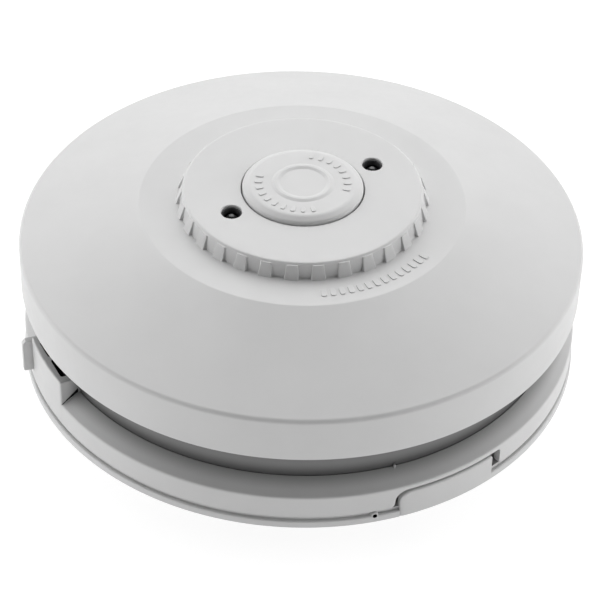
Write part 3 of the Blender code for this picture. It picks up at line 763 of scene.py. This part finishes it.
def latch_block():
    """Box at the rim that houses the release latch. Its face carries on down over the rim."""
    edge = 0.45
    outer = RIM_RADIUS + 0.03
    half = BLOCK_HALF_WIDTH
    sides = [edge - half - on_circle(edge, turn)[0] for turn in spread(0.0, 90.0, 4)]
    sides += spread(edge - half, half - edge, 14)[1:-1]
    sides += [-side for side in reversed(sides[:5])]
    along = Vector((*on_circle(1.0, BLOCK_ANGLE), 0.0))
    across = Vector((-along.y, along.x, 0.0))
    rings = []
    for side in sides:
        inside = max(0.0, abs(side) - (half - edge))
        drop = edge - math.sqrt(max(0.0, edge * edge - inside * inside))
        face = math.sqrt((outer - drop) ** 2 - side * side)
        top = BLOCK_TOP - drop
        outline = rounded([(WALL_INNER, 8.9, 0.0), (68.3, 8.9, 0.0), (68.3, 3.9, 0.0), (face, 3.9, 0.0),
                           (face, top, edge), (WALL_INNER, top, 0.3)])
        rings.append([tuple(along * depth + across * side + Vector((0, 0, height)))
                      for depth, height in outline])
    return skin(rings)


def block_undercut():
    """Wedge-shaped gap between the deck and the foot of the block's side."""
    slope = (DECK_TOP - RIM_TOP) / (RIM_RADIUS - 0.5 - DECK_RADIUS)
    profile = []
    for depth, above in ((69.0, 0.0), (69.0, 0.1), (64.6, 1.15), (64.6, -0.1)):
        profile.append((depth, RIM_TOP + (RIM_RADIUS - 0.5 - depth) * slope + above))
    rings = [[(depth, side, height) for depth, height in profile]
             for side in (BLOCK_HALF_WIDTH - 1.6, BLOCK_HALF_WIDTH + 0.6)]
    return placed(skin(rings), spin(BLOCK_ANGLE))


def latch_slot():
    return radial_bar(LATCH_ANGLE, 60.2, 75.0, 1.1, 6.1, 16.1)


def build_rear_housing():
    """Tray inside the bayonet ring: a floor with the seal's rib under it and a low wall round it."""
    section = rounded([
        (0.0, FLOOR_BOTTOM, 0.0), (SEAL_RIB[0], FLOOR_BOTTOM, 0.3), (SEAL_RIB[0], SEAL_RIB_BOTTOM, 0.2),
        (SEAL_RIB[1], SEAL_RIB_BOTTOM, 0.2), (SEAL_RIB[1], FLOOR_BOTTOM, 0.3),
        (DECK_RADIUS, FLOOR_BOTTOM, 0.1),
        (DECK_RADIUS, WALL_TOP, 0.25), (WALL_INNER, WALL_TOP, 0.25), (WALL_INNER, FLOOR_TOP, 0.4),
        (0.0, FLOOR_TOP, 0.0)])
    post = rounded([(1.4, 13.0, 0.0), (2.6, 13.0, 0.0), (2.6, 16.7, 0.2), (1.4, 16.7, 0.2)])
    posts = [turned(post, on_circle(BOARD_SCREW_RADIUS, angle), 32) for angle in BOARD_SCREW_ANGLES]
    stiffeners = [radial_bar(angle, 56.6, 61.6, 0.6, 10.6, 12.6) for angle in spread(22.5, 352.5, 11)]
    holes = [cylinder(1.7, 10.0, 15.0, on_circle(COVER_SCREW_RADIUS, angle), steps=32)
             for angle in COVER_SCREW_ANGLES]
    holes += [cylinder(1.1, 10.0, 15.0, (x, PIN_Y), steps=24) for x in PIN_X]
    room_for_block = radial_bar(BLOCK_ANGLE, WALL_INNER - GAP, 75.0, BLOCK_HALF_WIDTH + GAP, 8.6, 17.0, 0.0,
                                0.2)
    fine_piece("rear_housing", "head", "housing_grey", turned(section, steps=240), [posts, stiffeners],
               [holes, [room_for_block], [latch_slot()]])


def build_bayonet_ring():
    notch = feature_columns(*NOTCH_ANGLES, RIM_BOTTOM, NOTCH_TOP, (1.3, 1.0), (3.3, 0.9))
    sections = [(angle, ring_section(height)) for angle, height in notch]
    first, last = notch[0][0], notch[-1][0]
    sections += [(angle, ring_section(RIM_BOTTOM)) for angle in spread(last, first + 360.0, FINE_ROUND)[1:-1]]
    tabs = [sector(63.4, 68.6, start + HOOK_LENGTH + 0.35, start + HOOK_LENGTH + 7.8, 3.7, 5.2)
            for start in HOOK_ANGLES]
    nib = radial_bar(NIB_ANGLE, 64.98, 65.5, 0.2, 11.5, 12.95, 0.0, 0.05)
    ring = fresh_object("bayonet_ring_fine", swept(sections), MATERIALS["ring_white"])
    add(ring, [latch_block()] + tabs)
    add(ring, [nib])
    # The pockets and the wedge under the block get black faces: painted shade in these openings.
    pockets = [radial_bar(BLOCK_ANGLE, 65.3, 68.15, 2.95, 9.6, 19.0, -3.55, 0.6),
               radial_bar(BLOCK_ANGLE, 65.3, 68.1, 3.4, 9.6, 19.0, 4.0, 0.6)]
    cut(ring, pockets, MATERIALS["chip_black"])
    cut(ring, [block_undercut()], MATERIALS["chip_black"])
    cut(ring, [latch_slot()])
    finish_piece(ring, "head", ["bayonet_ring"])


def build_release_latch():
    low, high = 6.4, 15.8
    profile = rounded([(62.3, low, 0.3), (72.15, low, 0.35), (72.15, high - 0.9, 0.5), (71.3, high, 0.5),
                       (62.3, high, 0.3)])
    along = Vector((*on_circle(1.0, LATCH_ANGLE), 0.0))
    across = Vector((-along.y, along.x, 0.0))
    middle_depth, middle_height = 67.2, (low + high) / 2
    rings = []
    for side, inset in ((-0.8, 0.2), (-0.74, 0.06), (-0.6, 0.0), (0.6, 0.0), (0.74, 0.06), (0.8, 0.2)):
        ring = []
        for depth, height in profile:
            depth_in = depth - math.copysign(inset, depth - middle_depth)
            height_in = height - math.copysign(inset, height - middle_height)
            ring.append(tuple(along * depth_in + across * side + Vector((0, 0, height_in))))
        rings.append(ring)
    arm = radial_bar(LATCH_ANGLE, 62.4, 63.6, 0.7, 3.5, 7.0)
    tooth = radial_bar(LATCH_ANGLE, 62.5, 65.1, 0.65, 3.6, 5.0)
    fine_piece("release_latch", "latch", "cover_white", skin(rings), [[arm], [tooth]])


# Mounting plate

def plate_section(edge_height, outer):
    """Outline of the plate where its outer edge stands up to the given height."""
    inner_wall = 69.2 - 0.7 * min(1.0, edge_height - PLATE_THICKNESS)
    return rounded([
        (17.0, 0.0, 0.3), (outer, 0.0, 0.3), (outer, edge_height, 0.5), (inner_wall, edge_height, 0.0),
        (inner_wall - 0.05, STEP_TOP - 0.15, 0.0), (inner_wall - 0.15, STEP_TOP, 0.0),
        (66.6, STEP_TOP, 0.15), (66.5, PLATE_THICKNESS, 0.0), (17.0, PLATE_THICKNESS, 0.3)])


def build_mounting_plate():
    panel = feature_columns(*PANEL_ANGLES, PLATE_THICKNESS, PANEL_TOP, (0.0, 0.0), (2.9, 0.15))
    sections = []
    for angle, height in panel:
        inside = math.radians(min(angle - PANEL_ANGLES[0], PANEL_ANGLES[1] - angle)) * PLATE_RADIUS
        pull = 0.0
        if 0.0 <= inside < 1.2 and height > PLATE_THICKNESS + 0.01 and angle < 300.0:
            pull = 0.5 * (1 - math.sqrt(1 - (1 - inside / 1.2) ** 2))  # Softens the panel's left edge
        sections.append((angle, plate_section(height, PLATE_RADIUS - pull)))
    first, last = panel[0][0], panel[-1][0]
    sections += [(angle, plate_section(PLATE_THICKNESS, PLATE_RADIUS))
                 for angle in spread(last, first + 360.0, FINE_ROUND)[1:-1]]
    hooks = [sector(61.2, 62.6, start, start + HOOK_LENGTH, 1.2, 7.0, 0.15) for start in HOOK_ANGLES]
    lips = [sector(61.9, 66.0, start + 0.1, start + HOOK_LENGTH - 0.1, 5.6, 6.9) for start in HOOK_ANGLES]
    arcs = [sector(*LOCATING_ARC, start, end, 1.2, 5.5) for start, end in LOCATING_ARC_ANGLES]
    keeper = sector(*LOCATING_ARC, 195.4, 198.2, 1.2, 6.1, 0.15)
    keeper_lip = sector(64.5, 66.5, 195.5, 198.1, 5.3, 6.0, 0.1)
    pads = [pillow_prism(rectangle(4.7, 9.5, 0.8, (x, 0.0)), 1.2, 2.6, 0.15)
            for x in (-SCREW_SLOT_X, SCREW_SLOT_X)]
    slots = [prism(rectangle(2.25, 7.0, 2.0, (x, 0.0), 8), -2.0, 4.0) for x in (-SCREW_SLOT_X, SCREW_SLOT_X)]
    rounds = [cylinder(2.3, -2.0, 4.0, on_circle(ROUND_HOLE_RADIUS, angle)) for angle in ROUND_HOLE_ANGLES]
    plate = fresh_object("mounting_plate_fine", swept(sections), MATERIALS["plate_white"])
    add(plate, hooks + arcs + [keeper] + pads)
    add(plate, lips + [keeper_lip])
    cut(plate, slots + rounds)
    outwards = spin(NIB_HOLE_ANGLE) @ Matrix.Translation((69.0, 0.0, 2.05)) @ (
        Matrix.Rotation(math.radians(90.0), 4, "Y"))
    add(plate, [placed(cylinder(0.9, -1.0, 1.0, edge=0.25, steps=24), outwards)])
    # The hole's faces are black: painted shade.
    cut(plate, [placed(cylinder(0.55, 0.1, 2.0, steps=20), outwards)], MATERIALS["chip_black"])
    finish_piece(plate, "base", ["mounting_plate"])


# Between the plate and the housing

def screw(name, centre, seat, direction, head, shank, body):
    """Threaded pan-head screw with a cross recess, seated at a height and pointing down for direction 1
    or up for -1. Head and shank are (radius, length)."""
    core = shank[0] * 0.78
    outline = [(0.0, -shank[1], 0.0), (core * 0.5, -shank[1], 0.1)]
    height = 0.6 - shank[1]
    while height < -0.9:
        outline += [(core, height, 0.0), (shank[0], height + 0.22, 0.0), (shank[0], height + 0.3, 0.0),
                    (core, height + 0.52, 0.0)]
        height += 0.72
    outline += [(core, 0.0, 0.0), (head[0], 0.0, 0.15), (head[0], head[1] * 0.55, 0.3),
                (head[0] * 0.7, head[1], 0.8), (0.0, head[1], 0.0)]
    place = Matrix.Translation((*centre, seat))
    if direction < 0:
        place = place @ Matrix.Rotation(math.pi, 4, "X")
    arm, half = head[0] * 0.58, 0.32
    cross = [(arm, -half), (arm, half), (half, half), (half, arm), (-half, arm), (-half, half),
             (-arm, half), (-arm, -half), (-half, -half), (-half, -arm), (half, -arm), (half, -half)]
    taper = skin([[(x * 0.6, y * 0.6, head[1] * 0.3) for x, y in cross],
                  [(x, y, head[1] + 0.3) for x, y in cross]])
    fine_piece(name, body, "fastener_steel", placed(turned(rounded(outline)), place), (),
               [[placed(taper, place)]])


def build_dust_seal():
    inner, outer = SEAL_RIB[0] - GAP - 0.5, SEAL_RIB[1] + GAP + 0.5
    low, channel, high = 2.5, 10.1, 11.6
    section = rounded([
        (inner, low, 0.25), (outer, low, 0.25), (outer, 5.0, 0.2), (outer - 0.3, 5.4, 0.2),
        (outer, 5.8, 0.2), (outer, high, 0.2), (outer - 0.5, high, 0.15), (outer - 0.5, channel, 0.2),
        (inner + 0.5, channel, 0.2), (inner + 0.5, high, 0.15), (inner, high, 0.2), (inner, 5.8, 0.2),
        (inner + 0.3, 5.4, 0.2), (inner, 5.0, 0.2)])
    fine_piece("dust_seal", "seal", "seal_foam", turned(section, steps=180))


def build_terminals():
    """Terminal block with its clamps and screws, and the head's contact pins that go down into it."""
    low, high = 2.5, 11.2
    middle, clamp_y, screw_y, wire_height = 0.55, 31.0, 33.6, 6.4
    centres = [x + middle for x in PIN_X]
    cavities = [prism(rectangle(3.15, 5.3, 0.4, (x, clamp_y)), 3.6, 12.0) for x in centres]
    funnel = turned([(0.0, -3.0), (1.6, -3.0), (1.6, -0.9), (2.2, -0.3), (2.2, 1.0), (0.0, 1.0)], steps=32)
    wire_holes = [lying(funnel, (x, 37.6, wire_height), "Y") for x in centres]
    grooves = [prism(rectangle(0.3, 8.75, 0.1, (x, 29.75)), high - 0.4, high + 1.0)
               for x in (middle - 4.25, middle + 4.25)]
    fine_piece("terminal_block", "base", "terminal_plastic",
               rounded_box((29.5, 16.0, high - low), (middle, 29.6, (low + high) / 2), 1.0, 0.4), (),
               [cavities, wire_holes, grooves])
    pin = rounded([(0.0, 4.6, 0.0), (0.35, 4.6, 0.1), (0.8, 5.6, 0.4), (0.8, 14.3, 0.1), (1.25, 14.4, 0.1),
                   (1.25, 15.0, 0.1), (0.8, 15.1, 0.1), (0.8, 16.7, 0.1), (0.0, 16.7, 0.0)])
    for pin_x, x, role in zip(PIN_X, centres, ("live", "neutral", "link")):
        entry = prism(rectangle(1.75, 1.55, 0.5, (x, PIN_Y)), 1.0, 12.0)
        fine_piece(f"terminal_clamp_{role}", "base", "contact_brass",
                   rounded_box((5.7, 10.0, 5.0), (x, clamp_y, wire_height), 0.5, 0.25), (),
                   [[entry, cylinder(1.5, 0.0, 12.0, (x, screw_y), steps=32)]])
        screw(f"terminal_screw_{role}", (x, screw_y), 9.2, 1, (2.3, 1.4), (1.2, 4.4), "base")
        fine_piece(f"contact_pin_{role}", "head", "contact_brass", turned(pin, (pin_x, PIN_Y), 32))


def build_head_screws():
    for number, angle in enumerate(COVER_SCREW_ANGLES, 1):
        screw(f"cover_screw_{number}", on_circle(COVER_SCREW_RADIUS, angle), FLOOR_BOTTOM - GAP, -1,
              (2.8, 1.8), (1.2, 13.0), "head")
    for number, angle in enumerate(BOARD_SCREW_ANGLES, 1):
        screw(f"board_screw_{number}", on_circle(BOARD_SCREW_RADIUS, angle), ON_BOARD, 1, (2.4, 1.5),
              (1.1, 4.0), "head")


# Inside the head

def in_head(name, slot, shape, additions=(), cuts=()):
    """Fine piece that rides on the head."""
    fine_piece(name, "head", slot, shape, [additions] if additions else (), [cuts] if cuts else ())


def build_board():
    holes = [cylinder(1.5, 15.0, 21.0, on_circle(BOARD_SCREW_RADIUS, angle)) for angle in BOARD_SCREW_ANGLES]
    in_head("circuit_board", "board_laminate", cylinder(55.0, 17.0, 18.6, edge=0.15, steps=180), (), holes)


def build_boxes():
    """Film capacitor, two chips with a dimple at one corner, and the switch with its plunger."""
    in_head("film_capacitor", "film_capacitor",
            rounded_box((8.0, 18.0, 13.0), (40.0, 12.0, ON_BOARD + 6.5), 0.5, 0.4))
    chips = (("bridge_rectifier", (5.0, 4.6, 2.6), (27.0, -19.5)),
             ("microcontroller", (6.0, 6.0, 1.6), (-22.5, 3.0)))
    for name, size, (x, y) in chips:
        top = ON_BOARD + size[2]
        corner = (x - size[0] / 2 + 0.9, y + size[1] / 2 - 0.9)
        dimple = cylinder(0.4, top - 0.15, top + 1.0, corner, steps=24)
        in_head(name, "chip_black", rounded_box(size, (x, y, ON_BOARD + size[2] / 2), 0.25, 0.15), (),
                [dimple])
    plunger = cylinder(1.7, ON_BOARD + 1.0, ON_BOARD + 3.6, edge=0.2, steps=40)
    in_head("test_switch", "chip_black",
            rounded_box((6.0, 6.0, 2.9), (0.0, 0.0, ON_BOARD + 1.45), 0.3, 0.2), [plunger])


def build_drums():
    """Electrolytic capacitors with a crimp and a vented top, and the wound inductor."""
    for number, radius, height, centre in ((1, 5.0, 12.0, (31.0, -8.0)), (2, 4.0, 9.0, (43.0, -8.0))):
        top = ON_BOARD + height
        section = rounded([
            (0.0, ON_BOARD, 0.0), (radius - 0.4, ON_BOARD, 0.2), (radius, ON_BOARD + 0.8, 0.3),
            (radius, ON_BOARD + 1.5, 0.3), (radius - 0.35, ON_BOARD + 2.0, 0.3),
            (radius, ON_BOARD + 2.5, 0.3), (radius, top, 0.6), (radius - 1.2, top, 0.2),
            (radius - 1.4, top - 0.3, 0.1), (0.0, top - 0.3, 0.0)])
        groove = rounded_box((radius * 1.2, 0.3, 1.0), (0.0, 0.0, top + 0.05), 0.1, 0.05)
        vents = [[placed(groove, Matrix.Translation((*centre, 0.0)) @ spin(angle))]
                 for angle in (20.0, 110.0)]
        fine_piece(f"smoothing_capacitor_{number}", "head", "capacitor_sleeve", turned(section, centre, 64),
                   (), vents)
    top = ON_BOARD + 9.0
    section = rounded([(0.0, ON_BOARD, 0.0), (4.5, ON_BOARD, 0.2), (4.5, ON_BOARD + 1.2, 0.2),
                       (4.0, ON_BOARD + 1.4, 0.1), (4.0, top - 1.4, 0.1), (4.5, top - 1.2, 0.2),
                       (4.5, top, 0.2), (0.0, top, 0.0)])
    in_head("sounder_inductor", "copper_winding", turned(section, (-26.0, 25.0), 64))


def build_lying_parts():
    """Varistor disc, resistor with end caps, and the cell between its two clips."""
    disc = rounded([(0.0, -1.8, 0.0), (3.4, -1.8, 1.2), (4.6, -0.9, 0.8), (4.6, 0.9, 0.8), (3.4, 1.8, 1.2),
                    (0.0, 1.8, 0.0)])
    in_head("surge_varistor", "varistor_coat", lying(turned(disc), (37.0, -20.0, ON_BOARD + 4.6), "X"))
    body = rounded([(0.0, -6.5, 0.0), (1.5, -6.5, 0.3), (1.8, -5.9, 0.3), (1.8, -4.4, 0.3), (1.55, -4.0, 0.3),
                    (1.55, 4.0, 0.3), (1.8, 4.4, 0.3), (1.8, 5.9, 0.3), (1.5, 6.5, 0.3), (0.0, 6.5, 0.0)])
    in_head("fusible_resistor", "resistor_ceramic", lying(turned(body), (30.0, 10.0, ON_BOARD + 1.8), "Y"))
    cell = rounded([(0.0, -15.5, 0.0), (8.4, -15.5, 0.4), (8.4, 12.0, 0.3), (7.9, 12.6, 0.3),
                    (8.3, 13.2, 0.3), (8.2, 14.5, 0.5), (3.2, 14.6, 0.1), (3.0, 15.5, 0.3), (0.0, 15.5, 0.0)])
    in_head("backup_cell", "cell_sleeve", lying(turned(cell, steps=96), (-39.0, 0.0, ON_BOARD + 8.6), "Y"))
    blade = prism(rounded([(-4.5, -6.5, 2.0), (4.5, -6.5, 2.0), (4.5, 6.5, 0.2), (-4.5, 6.5, 0.2)], 8),
                  -0.3, 0.3)
    for name, y in (("cell_clip_rear", -16.4), ("cell_clip_front", 16.4)):
        in_head(name, "fastener_steel", lying(blade, (-39.0, y, ON_BOARD + 6.5), "Y"))


def build_smoke_chamber():
    x, y = CHAMBER_CENTRE
    vane = prism(rectangle(2.6, 0.55, 0.5), 20.8, 33.0)
    vanes = []
    for angle in spread(15.0, 375.0, 12)[:-1]:
        place = Matrix.Translation((x, y, 0.0)) @ Matrix.Translation((*on_circle(16.6, angle), 0.0))
        vanes.append(placed(vane, place @ spin(angle + 40.0)))
    cradles = [rounded_box((5.0, 5.0, 3.6), (x - 8.0, y, 22.8), 0.4, 0.3),
               rounded_box((5.0, 5.0, 3.6), (x + 7.2, y + 4.0, 22.8), 0.4, 0.3)]
    in_head("chamber_base", "chamber_black", cylinder(20.5, ON_BOARD, 21.4, CHAMBER_CENTRE, 0.2, 120),
            vanes + cradles)
    screen = rounded([(19.4, 21.7, 0.1), (20.0, 21.7, 0.1), (20.0, 33.1, 0.1), (19.4, 33.1, 0.1)])
    in_head("insect_screen", "screen_steel", turned(screen, CHAMBER_CENTRE, 120))
    cap = rounded([(0.0, 33.4, 0.0), (20.5, 33.4, 0.2), (20.5, 34.6, 0.3), (19.9, 35.2, 0.3),
                   (17.5, 35.2, 0.1), (17.2, 34.9, 0.1), (16.6, 34.9, 0.1), (16.3, 35.2, 0.1),
                   (0.0, 35.2, 0.0)])
    in_head("chamber_cover", "chamber_black", turned(cap, CHAMBER_CENTRE, 120))
    emitter = rounded([(0.0, -3.0, 0.0), (2.3, -3.0, 0.2), (2.3, -2.3, 0.1), (2.1, -2.2, 0.1),
                       (2.1, 1.0, 0.3), (1.9, 2.4, 0.9), (0.0, 3.0, 0.0)])
    in_head("infrared_led", "clear_lens", lying(turned(emitter), (x - 8.0, y, OPTICS_HEIGHT), "X"))
    in_head("photodiode", "smoked_plastic",
            rounded_box((2.4, 4.6, 4.6), (x + 8.4, y + 4.0, OPTICS_HEIGHT), 0.3, 0.2))
    lens = rounded([(0.0, 0.0, 0.0), (2.2, 0.0, 0.1), (2.2, 0.5, 0.2), (1.4, 1.2, 0.8), (0.0, 1.3, 0.0)])
    place = Matrix.Translation((x + 6.8, y + 4.0, OPTICS_HEIGHT)) @ (
        Matrix.Rotation(math.radians(-90.0), 4, "Y"))
    in_head("photodiode_lens", "clear_lens", placed(turned(lens), place))


def build_sounder():
    x, y = SOUNDER_CENTRE
    case = rounded([(15.4, ON_BOARD, 0.2), (19.0, ON_BOARD, 0.2), (19.0, 31.0, 0.3), (16.9, 31.0, 0.2),
                    (16.9, 25.0, 0.2), (15.4, 25.0, 0.2)])
    in_head("sounder_case", "chamber_black", turned(case, SOUNDER_CENTRE, 120))
    disc = rounded([(0.0, 25.3, 0.0), (16.4, 25.3, 0.08), (16.4, 25.55, 0.08), (12.0, 25.6, 0.0),
                    (11.9, 25.8, 0.05), (0.0, 25.8, 0.0)])
    in_head("piezo_disc", "contact_brass", turned(disc, SOUNDER_CENTRE, 120))
    lid = rounded([(3.2, 31.3, 0.2), (19.0, 31.3, 0.2), (19.0, 32.5, 0.4), (3.2, 32.5, 0.4)])
    in_head("sounder_lid", "chamber_black", turned(lid, SOUNDER_CENTRE, 120))
    for number, side in ((1, -9.0), (2, 9.0)):
        in_head(f"piezo_contact_{number}", "fastener_steel", coil(1.6, 0.3, ON_BOARD, 25.0, 3, (x + side, y)))


# Studio

def table_material():
    """White glass lit from within. It shows only from above, so that the underside can be looked at."""
    paper = Finish("studio_table", 0.9)
    paper.colour(paper.ramp(paper.noise(40.0), (0.3, (0.28, 0.28, 0.28)), (0.7, (0.30, 0.30, 0.30))))
    paper.shader.inputs["Emission Color"].default_value = (1.0, 1.0, 1.0, 1.0)
    paper.shader.inputs["Emission Strength"].default_value = TABLE_GLOW
    mix = paper.nodes.new("ShaderNodeMixShader")
    paper.links.new(paper.nodes.new("ShaderNodeNewGeometry").outputs["Backfacing"], mix.inputs["Fac"])
    paper.links.new(paper.shader.outputs["BSDF"], mix.inputs[1])
    paper.links.new(paper.nodes.new("ShaderNodeBsdfTransparent").outputs["BSDF"], mix.inputs[2])
    paper.links.new(mix.outputs["Shader"], paper.nodes["Material Output"].inputs["Surface"])
    return paper.material


def build_table():
    """Large round table top with a hole that the plate covers."""
    rings = []
    for angle in spread(0.0, 360.0, 96)[:-1]:
        rings.append([(*on_circle(radius, angle), -0.05) for radius in (TABLE_HOLE_RADIUS, 300.0, 3000.0)])
    points = [point for ring in rings for point in ring]
    faces = []
    for row in range(len(rings)):
        after = (row + 1) % len(rings)
        faces += [(row * 3 + place, row * 3 + place + 1, after * 3 + place + 1, after * 3 + place)
                  for place in (0, 1)]
    mesh = bpy.data.meshes.new("floor")
    mesh.from_pydata([Vector(point) * MM for point in points], [], faces)
    mesh.materials.append(table_material())
    table = bpy.data.objects.new("floor", mesh)
    bpy.context.scene.collection.objects.link(table)


def build_studio_light():
    """Soft light from high behind the alarm and from low on both sides, as a gradient all round. The
    camera sees plain white behind the table instead."""
    world = bpy.data.worlds.new("studio")
    bpy.context.scene.world = world
    world.use_nodes = True
    nodes, links = world.node_tree.nodes, world.node_tree.links
    split = nodes.new("ShaderNodeSeparateXYZ")
    links.new(nodes.new("ShaderNodeTexCoord").outputs["Generated"], split.inputs["Vector"])

    def calculated(operation, *values):
        node = nodes.new("ShaderNodeMath")
        node.operation = operation
        for socket, value in zip(node.inputs, values):
            if isinstance(value, float):
                socket.default_value = value
            else:
                links.new(value, socket)
        return node.outputs["Value"]

    height = calculated("ABSOLUTE", split.outputs["Z"])
    behind = calculated("MULTIPLY", calculated("MAXIMUM", split.outputs["Y"], 0.0), height)
    back = calculated("MULTIPLY", behind, calculated("MULTIPLY_ADD", height, OVERHEAD_LIGHT, BACK_LIGHT))
    low = calculated("POWER", calculated("SUBTRACT", 1.0, height), 2.0)
    sides = calculated("MULTIPLY", calculated("POWER", calculated("ABSOLUTE", split.outputs["X"]), 4.0), low)
    total = calculated("ADD", back, calculated("MULTIPLY", sides, SIDE_LIGHT))
    light = nodes["Background"]
    light.inputs["Color"].default_value = (1.0, 1.0, 1.0, 1.0)
    links.new(total, light.inputs["Strength"])
    backdrop = nodes.new("ShaderNodeBackground")
    backdrop.inputs["Color"].default_value = (1.0, 1.0, 1.0, 1.0)
    choice = nodes.new("ShaderNodeMixShader")
    links.new(nodes.new("ShaderNodeLightPath").outputs["Is Camera Ray"], choice.inputs["Fac"])
    links.new(light.outputs["Background"], choice.inputs[1])
    links.new(backdrop.outputs["Background"], choice.inputs[2])
    links.new(choice.outputs["Shader"], nodes["World Output"].inputs["Surface"])


def build_camera():
    camera = bpy.data.objects.new("camera", bpy.data.cameras.new("camera"))
    bpy.context.scene.collection.objects.link(camera)
    camera.data.lens = CAMERA_LENS
    camera.data.sensor_width = 36.0
    camera.data.clip_start = 0.01
    camera.data.clip_end = 20.0
    rise = math.radians(CAMERA_ELEVATION)
    back = Vector((0.0, -math.cos(rise), math.sin(rise)))
    camera.matrix_world = Matrix.Translation((Vector(CAMERA_AIM) + back * CAMERA_DISTANCE) * MM) @ (
        Matrix.Rotation(math.radians(90.0 - CAMERA_ELEVATION), 4, "X") @ Matrix.Rotation(
            math.radians(CAMERA_ROLL), 4, "Z"))
    bpy.context.scene.camera = camera
    bpy.context.scene.view_settings.view_transform = "Standard"


build_camera()
paint_cad_nodes()
build_front_cover()
build_test_button()
build_button_spring()
build_lamps()
build_rear_housing()
build_bayonet_ring()
build_release_latch()
build_mounting_plate()
build_dust_seal()
build_terminals()
build_head_screws()
build_board()
build_boxes()
build_drums()
build_lying_parts()
build_smoke_chamber()
build_sounder()
build_table()
build_studio_light()
